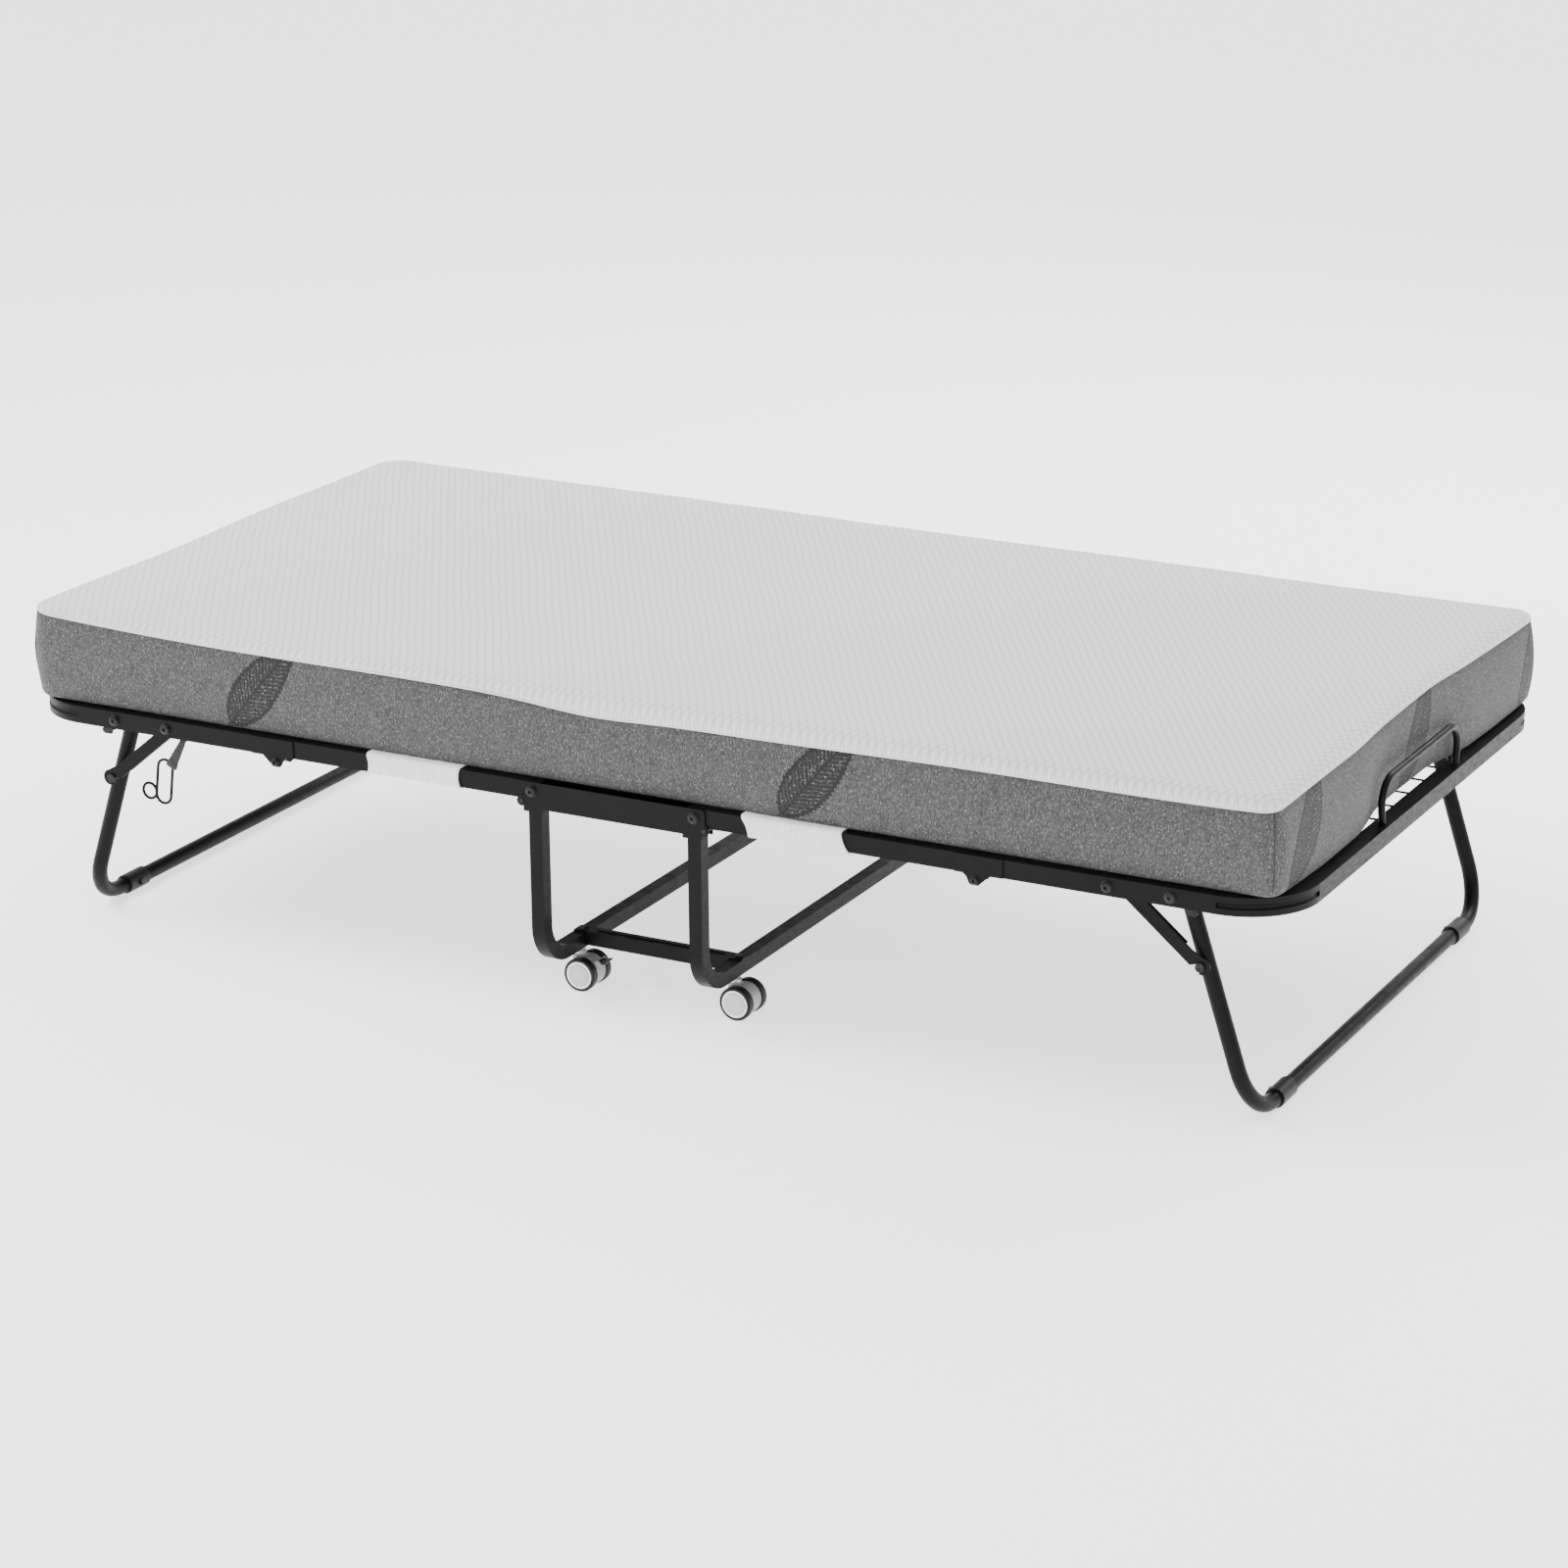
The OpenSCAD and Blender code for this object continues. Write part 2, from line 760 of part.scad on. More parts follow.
module centre_bracket_near() { color("#1b1b1c") at_side(NEAR) centre_bracket(); }
module centre_bracket_far() { color("#1b1b1c") at_side(FAR) centre_bracket(); }

centre_bracket_near();
centre_bracket_far();
bracket_stop_pins();
bracket_bolts();
cart_frame(HEAD);  // cart_frame_head
cart_frame(FOOT);  // cart_frame_foot
at_side(NEAR) cart_rail();  // cart_rail_near
at_side(FAR) cart_rail();  // cart_rail_far
cart_rivets();
castor_sockets();
mattress_slab(-mattress_cut, mattress_cut);  // mattress_centre
end_frame(HEAD);  // head_end_frame
side_rail(HEAD, NEAR);  // head_side_rail_near
side_rail(HEAD, FAR);  // head_side_rail_far
hinge_leaves(HEAD);  // head_hinge_leaves
frame_bolts(HEAD);  // head_frame_bolts
wire_deck(HEAD);  // head_wire_deck
leg_stops(HEAD);  // head_leg_stops
straps(HEAD, head_strap_x);  // head_straps
mattress_slab(mattress_shift - mattress_l / 2, -mattress_cut, HEAD);  // mattress_head
latch_clip();
latch_strap();
latch_hook();
end_frame(FOOT);  // foot_end_frame
side_rail(FOOT, NEAR);  // foot_side_rail_near
side_rail(FOOT, FAR);  // foot_side_rail_far
hinge_leaves(FOOT);  // foot_hinge_leaves
frame_bolts(FOOT);  // foot_frame_bolts
wire_deck(FOOT);  // foot_wire_deck
leg_stops(FOOT);  // foot_leg_stops
straps(FOOT, foot_strap_x);  // foot_straps
mattress_slab(mattress_cut, mattress_shift + mattress_l / 2, FOOT);  // mattress_foot
retaining_handle();
leg(HEAD);  // head_leg
leg_sleeves(HEAD);  // head_leg_sleeves
leg_pins(HEAD);  // head_leg_pins
braces(HEAD);  // head_braces
leg(FOOT);  // foot_leg
leg_sleeves(FOOT);  // foot_leg_sleeves
leg_pins(FOOT);  // foot_leg_pins
braces(FOOT);  // foot_braces
housing(HEAD, NEAR);  // housing_head_near
stem(HEAD, NEAR);  // stem_head_near
wheels(HEAD, NEAR);  // wheels_head_near
hub_caps(HEAD, NEAR);  // hub_caps_head_near
housing(HEAD, FAR);  // housing_head_far
stem(HEAD, FAR);  // stem_head_far
wheels(HEAD, FAR);  // wheels_head_far
hub_caps(HEAD, FAR);  // hub_caps_head_far
housing(FOOT, NEAR);  // housing_foot_near
stem(FOOT, NEAR);  // stem_foot_near
wheels(FOOT, NEAR);  // wheels_foot_near
hub_caps(FOOT, NEAR);  // hub_caps_foot_near
housing(FOOT, FAR);  // housing_foot_far
stem(FOOT, FAR);  // stem_foot_far
wheels(FOOT, FAR);  // wheels_foot_far
hub_caps(FOOT, FAR);  // hub_caps_foot_far
brake_lever(NEAR);  // brake_lever_near
brake_lever(FAR);  // brake_lever_far
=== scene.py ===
"""Looks of the folding cot: mattress, straps, latch, castors and every material.

Metres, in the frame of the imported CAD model: X along the bed with the head at -X,
Y across it with the photographed side at -Y, Z up from the floor.
"""

import json
import math

import bmesh
import bpy
import numpy as np
from mathutils import Matrix, Vector, noise


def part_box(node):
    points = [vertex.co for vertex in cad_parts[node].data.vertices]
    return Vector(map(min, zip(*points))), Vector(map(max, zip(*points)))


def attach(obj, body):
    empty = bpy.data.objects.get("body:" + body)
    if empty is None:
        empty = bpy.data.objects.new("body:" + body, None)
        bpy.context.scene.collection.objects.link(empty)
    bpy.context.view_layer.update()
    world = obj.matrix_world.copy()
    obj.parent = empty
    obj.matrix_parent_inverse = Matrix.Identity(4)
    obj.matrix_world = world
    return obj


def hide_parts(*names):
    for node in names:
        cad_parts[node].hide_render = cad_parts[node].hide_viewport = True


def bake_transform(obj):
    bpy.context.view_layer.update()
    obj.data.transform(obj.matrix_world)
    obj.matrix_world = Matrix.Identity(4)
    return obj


# ---- places worked out from the frame ----

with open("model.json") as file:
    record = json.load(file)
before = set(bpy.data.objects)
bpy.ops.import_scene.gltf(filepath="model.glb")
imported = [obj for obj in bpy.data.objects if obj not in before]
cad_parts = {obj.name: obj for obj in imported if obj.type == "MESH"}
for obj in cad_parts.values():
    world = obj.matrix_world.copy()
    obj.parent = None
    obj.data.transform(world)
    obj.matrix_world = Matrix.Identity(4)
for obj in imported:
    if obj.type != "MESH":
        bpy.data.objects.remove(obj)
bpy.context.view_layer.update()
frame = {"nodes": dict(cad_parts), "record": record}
NODES = frame["nodes"]


def corner(node, high, axis):
    """One coordinate of a node's box."""
    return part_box(node)[1 if high else 0][axis]


BED_X0 = corner("mattress_head", False, 0)
BED_X1 = corner("mattress_foot", True, 0)
BED_HALF_W = corner("mattress_head", True, 1)
BED_Z0 = corner("mattress_head", False, 2)
BED_Z1 = corner("mattress_head", True, 2)
BED_T = BED_Z1 - BED_Z0
RAIL_OUT = corner("head_side_rail_far", True, 1)
RAIL_IN = corner("head_side_rail_far", False, 1)
RAIL_TOP = corner("head_side_rail_far", True, 2)
RAIL_BOT = corner("head_side_rail_far", False, 2)


# ---- small helpers ----


def smooth(t):
    """Eases from 0 to 1."""
    t = np.clip(t, 0.0, 1.0)
    return t * t * (3 - 2 * t)


def mesh_object(name, verts, faces, material):
    """A smooth-shaded mesh object from plain lists, with one material."""
    mesh = bpy.data.meshes.new(name)
    mesh.from_pydata([tuple(v) for v in verts], [], faces)
    mesh.update()
    obj = bpy.data.objects.new(name, mesh)
    bpy.context.collection.objects.link(obj)
    mesh.materials.append(material)
    for polygon in mesh.polygons:
        polygon.use_smooth = True
    return obj


def tube_object(name, points, radius, material, sides):
    """A round tube swept along points, with turning frames carried along the path."""
    pts = [Vector(p) for p in points]
    count = len(pts)
    verts = []
    faces = []
    normal = None
    for i, p in enumerate(pts):
        before = pts[i - 1] if i > 0 else p
        after = pts[i + 1] if i < count - 1 else p
        along = (after - before).normalized()
        if normal is None:
            normal = along.orthogonal().normalized()
        normal = (normal - along * normal.dot(along)).normalized()
        side = along.cross(normal)
        for k in range(sides):
            a = 2 * math.pi * k / sides
            verts.append(p + radius * (math.cos(a) * normal + math.sin(a) * side))
    for i in range(count - 1):
        here, there = i * sides, (i + 1) * sides
        for k in range(sides):
            m = (k + 1) % sides
            faces.append((here + k, here + m, there + m, there + k))
    faces.append(tuple(reversed(range(sides))))
    faces.append(tuple(range((count - 1) * sides, count * sides)))
    return mesh_object(name, verts, faces, material)


def joined(name, parts):
    """Several mesh objects made into one."""
    bpy.ops.object.select_all(action="DESELECT")
    for part in parts:
        part.select_set(True)
    bpy.context.view_layer.objects.active = parts[0]
    bpy.ops.object.join()
    parts[0].name = name
    return parts[0]


def fix_normals(obj):
    """Turns every face of a closed mesh outward."""
    bm = bmesh.new()
    bm.from_mesh(obj.data)
    bmesh.ops.recalc_face_normals(bm, faces=bm.faces)
    bm.to_mesh(obj.data)
    bm.free()


# ---- materials ----

RIB_RATE = 5200.0
ELASTIC_RIB = 0.0034
LOZENGE = 0.0125
LOZENGE_SLOPE = 0.62
LEAVES_SIDE = (-0.5585, 0.3045)
LEAVES_END = (-0.385, 0.034, 0.460)
LEAF_SPAN = 0.172
LEAF_HALF_W = 0.0315
LEAF_TILT = 0.70
LEAF_MIDDLE = 0.072
LEAF_TEETH = 0.0035
LEAF_RAGGED = 0.0075
LEAF_LINE = 0.0025
MIDRIB_HALF = 0.0017
VEIN_GAP = 0.0038
VEIN_HALF = 0.0019
VEIN_SLOPE = 0.95
STEM_FORK = 0.0018
STEM_HALF = 0.0013
STEM_LENGTH = 0.013
STEM_INSIDE = 0.006
CORNER_BORDER = 0.018
INK = (0.006, 0.006, 0.007)


class Nodes:
    """Builds a node material with few words."""

    def __init__(self, name):
        self.material = bpy.data.materials.new(name)
        self.material.use_nodes = True
        self.tree = self.material.node_tree
        self.shader = self.tree.nodes["Principled BSDF"]
        self.position = self.add("ShaderNodeTexCoord").outputs["Object"]

    def add(self, kind, **values):
        node = self.tree.nodes.new(kind)
        for key, value in values.items():
            setattr(node, key, value)
        return node

    def link(self, out, into):
        self.tree.links.new(out, into)

    def set(self, **values):
        for key, value in values.items():
            self.shader.inputs[key.replace("_", " ")].default_value = value

    def noise(self, scale, detail=2.0, stretch=None, rough=0.5):
        """Noise texture in object space, stretched per axis."""
        node = self.add("ShaderNodeTexNoise")
        node.inputs["Scale"].default_value = scale
        node.inputs["Detail"].default_value = detail
        node.inputs["Roughness"].default_value = rough
        self.link(self.stretched(stretch), node.inputs["Vector"])
        return node.outputs["Fac"]

    def voronoi(self, scale, stretch=None, feature="F1"):
        node = self.add("ShaderNodeTexVoronoi", feature=feature)
        node.inputs["Scale"].default_value = scale
        self.link(self.stretched(stretch), node.inputs["Vector"])
        return node

    def stretched(self, stretch):
        if stretch is None:
            return self.position
        mapping = self.add("ShaderNodeMapping")
        mapping.inputs["Scale"].default_value = stretch
        self.link(self.position, mapping.inputs["Vector"])
        return mapping.outputs["Vector"]

    def math(self, operation, a, b=0.0, c=0.0, clamp=False):
        node = self.add("ShaderNodeMath", operation=operation, use_clamp=clamp)
        for socket, value in zip(node.inputs, (a, b, c)):
            if hasattr(value, "is_output"):
                self.link(value, socket)
            else:
                socket.default_value = value
        return node.outputs[0]

    def ramp(self, fac, stops):
        """Colour ramp from (place, grey or colour) stops."""
        node = self.add("ShaderNodeValToRGB")
        elements = node.color_ramp.elements
        while len(elements) < len(stops):
            elements.new(0.5)
        for element, (place, value) in zip(elements, stops):
            element.position = place
            colour = (value, value, value) if isinstance(value, float) else value
            element.color = (*colour, 1.0)
        self.link(fac, node.inputs["Fac"])
        return node.outputs["Color"]

    def mix(self, fac, a, b):
        node = self.add("ShaderNodeMix", data_type="RGBA")
        for socket, value in ((node.inputs[0], fac), (node.inputs[6], a), (node.inputs[7], b)):
            if hasattr(value, "is_output"):
                self.link(value, socket)
            elif isinstance(value, tuple):
                socket.default_value = (*value, 1.0)
            else:
                socket.default_value = value
        return node.outputs[2]

    def bump(self, height, strength, distance):
        node = self.add("ShaderNodeBump")
        node.inputs["Strength"].default_value = strength
        node.inputs["Distance"].default_value = distance
        self.link(height, node.inputs["Height"])
        self.link(node.outputs["Normal"], self.shader.inputs["Normal"])

    def coordinates(self):
        node = self.add("ShaderNodeSeparateXYZ")
        self.link(self.position, node.inputs["Vector"])
        return node.outputs


def coated_steel(name, level=0.0035, gloss=0.42, grain=900.0):
    """Satin powder coat: fine orange peel, small gloss changes and faint handling marks."""
    m = Nodes(name)
    base = m.noise(14.0, 4.0)
    m.link(m.ramp(base, [(0.3, level * 0.8), (0.7, level * 1.25)]), m.shader.inputs["Base Color"])
    marks = m.noise(60.0, 6.0, (1.0, 1.0, 3.0))
    m.link(m.ramp(marks, [(0.35, gloss - 0.06), (0.75, gloss + 0.1)]), m.shader.inputs["Roughness"])
    m.set(Specular_IOR_Level=0.10)
    m.bump(m.noise(grain, 2.0), 0.12, 0.0004)
    return m.material


def black_hardware():
    """Black oxide bolts, rivets and pins."""
    m = Nodes("black_fixings")
    wear = m.noise(220.0, 4.0)
    m.link(m.ramp(wear, [(0.4, 0.005), (0.72, 0.025)]), m.shader.inputs["Base Color"])
    m.link(m.ramp(wear, [(0.3, 0.28), (0.8, 0.5)]), m.shader.inputs["Roughness"])
    m.set(Metallic=0.1, Specular_IOR_Level=0.2)
    m.bump(m.noise(1400.0, 2.0), 0.1, 0.0003)
    return m.material


def zinc_plate():
    """Bright zinc plating with a faint crystal bloom."""
    m = Nodes("zinc")
    bloom = m.voronoi(260.0).outputs["Distance"]
    m.link(m.ramp(bloom, [(0.0, 0.55), (0.6, 0.75)]), m.shader.inputs["Base Color"])
    m.link(m.ramp(m.noise(180.0), [(0.3, 0.28), (0.7, 0.45)]), m.shader.inputs["Roughness"])
    m.set(Metallic=0.85)
    m.bump(bloom, 0.05, 0.0002)
    return m.material


def moulded(name, dark, light, rough, grain=1100.0, depth=0.15):
    """Moulded plastic or rubber with a fine spark-eroded grain."""
    m = Nodes(name)
    cloud = m.noise(40.0, 3.0)
    m.link(m.ramp(cloud, [(0.3, dark), (0.7, light)]), m.shader.inputs["Base Color"])
    m.link(m.ramp(m.noise(90.0, 4.0), [(0.3, rough - 0.06), (0.7, rough + 0.08)]),
           m.shader.inputs["Roughness"])
    m.set(Specular_IOR_Level=0.25 if light < 0.05 else 0.5)
    m.bump(m.noise(grain, 2.0), depth, 0.0003)
    return m.material


def webbing():
    """Black woven tape: a chevron of fine ribs."""
    m = Nodes("black_webbing")
    x, _, z = m.coordinates()
    rib = m.math("SINE", m.math("MULTIPLY", m.math("ADD", x, z), RIB_RATE))
    cross = m.math("SINE", m.math("MULTIPLY", m.math("SUBTRACT", x, z), RIB_RATE))
    weave = m.math("MULTIPLY", m.math("MULTIPLY", rib, cross), 0.5)
    weave = m.math("ADD", weave, 0.5)
    m.link(m.ramp(weave, [(0.1, 0.006), (0.9, 0.03)]), m.shader.inputs["Base Color"])
    m.set(Roughness=0.8, Sheen_Weight=0.15)
    m.bump(weave, 0.5, 0.0006)
    return m.material


def elastic():
    """White elastic: ribs along the strap, cross puckers, and painted shade that greys the pucker hollows."""
    m = Nodes("white_elastic")
    x, _, _ = m.coordinates()
    ribs = m.math("SINE", m.math("MULTIPLY", x, 2.0 * math.pi / ELASTIC_RIB))
    ribs = m.math("MULTIPLY_ADD", ribs, 0.5, 0.5)
    pucker = m.noise(70.0, 4.0, (3.0, 0.7, 0.7))
    height = m.math("ADD", m.math("MULTIPLY", ribs, 0.5), m.math("MULTIPLY", pucker, 1.6))
    # painted shade: the colour greys with the same noise that sinks the puckers, darker in their hollows
    shade = m.ramp(pucker, [(0.25, 0.66), (0.65, 0.86)])
    m.link(shade, m.shader.inputs["Base Color"])
    m.set(Roughness=0.85, Sheen_Weight=0.2)
    m.bump(height, 0.4, 0.0012)
    return m.material


def top_knit(m):
    """White knit: raised diagonal lozenges, a fine loop grain and soft puckers, with painted shade darkening
    the grooves between the lozenges. Returns colour and height.
    """
    x, y, _ = m.coordinates()
    period = 2.0 * math.pi / LOZENGE
    wobble = m.math("MULTIPLY", m.math("SUBTRACT", m.noise(9.0, 2.0), 0.5), 0.010)
    u = m.math("ADD", m.math("ADD", x, m.math("MULTIPLY", y, LOZENGE_SLOPE)), wobble)
    v = m.math("ADD", m.math("SUBTRACT", x, m.math("MULTIPLY", y, LOZENGE_SLOPE)), wobble)
    a = m.math("COSINE", m.math("MULTIPLY", u, period * 0.5))
    b = m.math("COSINE", m.math("MULTIPLY", v, period * 0.5))
    a = m.math("POWER", m.math("ABSOLUTE", a), 0.45)
    b = m.math("POWER", m.math("ABSOLUTE", b), 0.45)
    lozenge = m.math("MULTIPLY", a, b)
    loops = m.noise(1500.0, 1.0)
    puckers = m.noise(60.0, 3.0)
    height = m.math("ADD", lozenge, m.math("MULTIPLY", loops, 0.18))
    height = m.math("ADD", height, m.math("MULTIPLY", puckers, 0.5))
    # painted shade: the knit's colour darkens with the lozenge height, grey in the grooves between the raised
    # lozenges
    groove_shade = m.ramp(lozenge, [(0.15, 0.60), (0.75, 0.76)])
    return groove_shade, height


def leaf_axes(m, across, up, centre):
    """Distances along a leaf's midrib and to its side, with a ragged edge added to the side."""
    du = m.math("SUBTRACT", across, centre[0])
    dv = m.math("SUBTRACT", up, centre[1])
    cos_t, sin_t = math.cos(LEAF_TILT), math.sin(LEAF_TILT)
    along = m.math("ADD", m.math("MULTIPLY", du, sin_t), m.math("MULTIPLY", dv, cos_t))
    side = m.math("SUBTRACT", m.math("MULTIPLY", du, cos_t), m.math("MULTIPLY", dv, sin_t))
    ragged = m.math("MULTIPLY", m.math("SUBTRACT", m.noise(520.0, 4.0), 0.5), LEAF_RAGGED)
    return along, m.math("ADD", side, ragged)


def leaf_width(m, along, t):
    """Half width of the leaf at t along it, with teeth."""
    teeth = m.math("MULTIPLY", m.math("PINGPONG", m.math("ADD", along, 1.0), LEAF_TEETH), 0.9)
    swell = m.math("SINE", m.math("MULTIPLY", m.math("POWER", t, 0.78), math.pi))
    width = m.math("MULTIPLY", m.math("POWER", swell, 0.75), LEAF_HALF_W)
    return m.math("SUBTRACT", width, teeth)


def leaf_veins(m, along, off):
    """Broken side veins that slope away from the midrib."""
    bent = m.math("SUBTRACT", along, m.math("MULTIPLY", off, VEIN_SLOPE))
    bent = m.math("ADD", bent, m.math("MULTIPLY", m.noise(160.0, 2.0), 0.006))
    vein = m.math("PINGPONG", m.math("ADD", bent, 1.0), VEIN_GAP)
    broken = m.math("GREATER_THAN", m.noise(230.0, 2.0), 0.36)
    return m.math("MULTIPLY", m.math("LESS_THAN", vein, VEIN_HALF), broken)


def leaf_stem(m, along, off):
    """Two short lines below the leaf."""
    fork = m.math("ABSOLUTE", m.math("SUBTRACT", off, STEM_FORK))
    above = m.math("GREATER_THAN", along, -LEAF_SPAN / 2 - STEM_LENGTH)
    below = m.math("LESS_THAN", along, -LEAF_SPAN / 2 + STEM_INSIDE)
    return m.math("MULTIPLY", m.math("LESS_THAN", fork, STEM_HALF), m.math("MULTIPLY", above, below))


def leaf_mask(m, across, up, centre):
    """Dark line drawing of a leaf on a flat face: ragged outline, midrib, dense veins and a split stem.

    across and up are sockets in metres, centre is the leaf's middle on them.
    Returns (line, inside): how dark the drawn line is, and whether the point is inside the leaf.
    """
    along, side = leaf_axes(m, across, up, centre)
    t = m.math("DIVIDE", m.math("ADD", along, LEAF_SPAN / 2), LEAF_SPAN, clamp=True)
    width = leaf_width(m, along, t)
    off = m.math("ABSOLUTE", side)
    edge = m.math("ABSOLUTE", m.math("SUBTRACT", off, width))
    outline_line = m.math("LESS_THAN", edge, LEAF_LINE)
    inside = m.math("LESS_THAN", off, width)
    ends = m.math("MULTIPLY", m.math("GREATER_THAN", t, 0.005), m.math("LESS_THAN", t, 0.995))
    midrib = m.math("LESS_THAN", off, MIDRIB_HALF)
    mesh = m.voronoi(330.0, None, "DISTANCE_TO_EDGE").outputs["Distance"]
    mesh = m.math("MULTIPLY", m.math("LESS_THAN", mesh, 0.12), 0.85)
    drawn = m.math("MAXIMUM", m.math("MAXIMUM", midrib, leaf_veins(m, along, off)), mesh)
    drawn = m.math("MULTIPLY", drawn, inside)
    drawn = m.math("MULTIPLY", m.math("MAXIMUM", drawn, outline_line), ends)
    drawn = m.math("MAXIMUM", drawn, leaf_stem(m, along, off))
    return drawn, m.math("MULTIPLY", inside, ends)


def leaf_group(m, across, up, centres, where):
    """Several leaves on one face, shown only where the mask says so."""
    line = 0.0
    inner = 0.0
    for centre in centres:
        drawn, inside = leaf_mask(m, across, up, (centre, BED_Z0 + LEAF_MIDDLE))
        line = m.math("MAXIMUM", drawn, line)
        inner = m.math("MAXIMUM", inside, inner)
    return m.math("MULTIPLY", line, where), m.math("MULTIPLY", inner, where)


def side_knit(m):
    """Heathered grey jersey with upright flecks and the leaf drawings. Returns colour and height."""
    x, y, z = m.coordinates()
    heather = m.noise(520.0, 4.0, (1.0, 1.0, 0.42), 0.7)
    broad = m.noise(60.0, 2.0, (1.0, 1.0, 0.5))
    mixed = m.math("ADD", m.math("MULTIPLY", heather, 0.90), m.math("MULTIPLY", broad, 0.10))
    grey = m.ramp(mixed, [(0.38, 0.024), (0.5, 0.052), (0.62, 0.092)])
    fleck = m.voronoi(430.0, (1.0, 1.0, 0.50)).outputs["Distance"]
    chance = m.noise(300.0, 1.0)
    dots = m.math("MULTIPLY", m.math("LESS_THAN", fleck, 0.25), m.math("GREATER_THAN", chance, 0.49))
    grey = m.mix(m.math("MULTIPLY", dots, 0.7), grey, (0.30, 0.30, 0.31))
    flat = m.math("ABSOLUTE", y)
    border = BED_HALF_W - CORNER_BORDER
    line, inner = leaf_group(m, x, z, LEAVES_SIDE, m.math("GREATER_THAN", flat, border))
    end_line, end_inner = leaf_group(m, y, z, LEAVES_END, m.math("LESS_THAN", flat, border))
    line = m.math("MAXIMUM", line, end_line)
    inner = m.math("MAXIMUM", inner, end_inner)
    speck = m.voronoi(380.0, (1.0, 1.0, 0.7)).outputs["Distance"]
    bright = m.ramp(speck, [(0.20, 0.34), (0.36, 0.034)])
    colour = m.mix(m.math("MULTIPLY", inner, 0.85), grey, bright)
    colour = m.mix(line, colour, INK)
    height = m.math("ADD", mixed, m.math("MULTIPLY", line, -0.4))
    return colour, height


def mattress_top_material():
    """The white knit of the mattress's top."""
    m = Nodes("mattress_top")
    groove_shade, height = top_knit(m)
    # the top's colour carries the painted shade of the quilting grooves
    m.link(groove_shade, m.shader.inputs["Base Color"])
    m.set(Roughness=0.9, Sheen_Weight=0.25, Sheen_Roughness=0.5)
    m.bump(height, 0.8, 0.0019)
    return m.material


def mattress_side_material():
    """The grey jersey of the mattress's band and underside."""
    m = Nodes("mattress_side")
    colour, height = side_knit(m)
    m.link(colour, m.shader.inputs["Base Color"])
    m.set(Roughness=0.92, Sheen_Weight=0.1)
    m.bump(height, 0.5, 0.0009)
    return m.material


def thread_material(name, dark, light):
    """Twisted thread or piping cord."""
    m = Nodes(name)
    twist = m.noise(1600.0, 2.0, (1.0, 1.0, 0.6))
    m.link(m.ramp(twist, [(0.3, dark), (0.7, light)]), m.shader.inputs["Base Color"])
    m.set(Roughness=0.85)
    m.bump(twist, 0.5, 0.0005)
    return m.material


MATERIALS = {
    "black_paint": coated_steel("black_paint"),
    "bracket_steel": coated_steel("bracket_steel", 0.0035, 0.40, 700.0),
    "brace_steel": coated_steel("brace_steel", 0.0035, 0.40, 800.0),
    "black_fixings": black_hardware(),
    "black_wire": coated_steel("black_wire", 0.003, 0.38, 1200.0),
    "deck_wire": coated_steel("deck_wire", 0.003, 0.38, 1200.0),
    "zinc": zinc_plate(),
    "castor_grey": moulded("castor_grey", 0.26, 0.32, 0.30),
    "light_plastic": moulded("light_plastic", 0.62, 0.68, 0.38, depth=0.08),
    "black_plastic": moulded("black_plastic", 0.004, 0.008, 0.45),
    "wheel_rubber": moulded("wheel_rubber", 0.004, 0.008, 0.45),
    "white_elastic": elastic(),
    "black_webbing": webbing(),
}
TOP = mattress_top_material()
SIDE = mattress_side_material()
DARK_THREAD = thread_material("dark_thread", 0.02, 0.05)
PALE_THREAD = thread_material("pale_thread", 0.6, 0.8)


def dress_cad():
    """Gives every carried-over CAD node its procedural material."""
    slots = {s["node"]: s["material_slot"] for s in frame["record"]["subparts"]}
    for name, obj in NODES.items():
        material = MATERIALS.get(slots.get(name))
        if material is None:
            continue
        obj.data.materials.clear()
        obj.data.materials.append(material)


# ---- mattress ----

CORNER_HEAD = 0.040
CORNER_FOOT = 0.022
ARC_STEPS = 6
LONG_CUTS = 152
SHORT_CUTS = 74
# heights: the underside's rounding, the seam's drop below the top, the crown
LOW_R = 0.007
LOW_STEPS = 4
BAND_STEPS = 10
SEAM_DROP_HEAD = 0.006
SEAM_DROP_FOOT = 0.0105
SEAM_SAG = 0.0175
SEAM_FOLD_DIP = 0.007
SEAM_WAVE = 0.003
SEAM_RIPPLE = 0.0016
BELLY = 0.0058
BELLY_INSET = 0.0022
TOP_DROP = 0.002
TOP_CROWN = 0.0026
TOP_EASE = 0.11
# the white edge: where it leaves the seam and how far in its rounding reaches
GROOVE_INSET = 0.0042
EDGE_INSET = 0.0012
EDGE_REACH = 0.026
EDGE_RISE = 0.0010
EDGE_STEPS = 8
PIPING_R = 0.0013
PIPING_INSET = 0.0022
PIPING_RISE = 0.0004
CORNER_SEAM_R = 0.0010
CORNER_SEAM_STEPS = 23
# how the foot end is drawn in between its corners and spreads beside the handle
FOOT_INSET = 0.0056
FOOT_LIFT = 0.0035
FOOT_SKEW = 0.009
FOOT_REACH = 0.30
FOOT_PUSH = 0.015
FOOT_WIDE = 0.46
FOOT_EASE = 0.30
FOOT_TOP_SHARE = 0.85
# drag lines on the band: where each strap's outer end pulls, and which way it leans
DRAG_LINES = ((0.348, 1.0), (-0.385, -1.0))
DRAG_TOP = 0.75
DRAG_VALLEY = 0.0045
DRAG_RIDGE = 0.0028
# the foam's own unevenness, and the puckers of the white edge
SWELL_BROAD = 0.0016
SWELL_FINE = 0.0007
PUCKER = 0.0011
PUCKER_LEVEL = 0.93


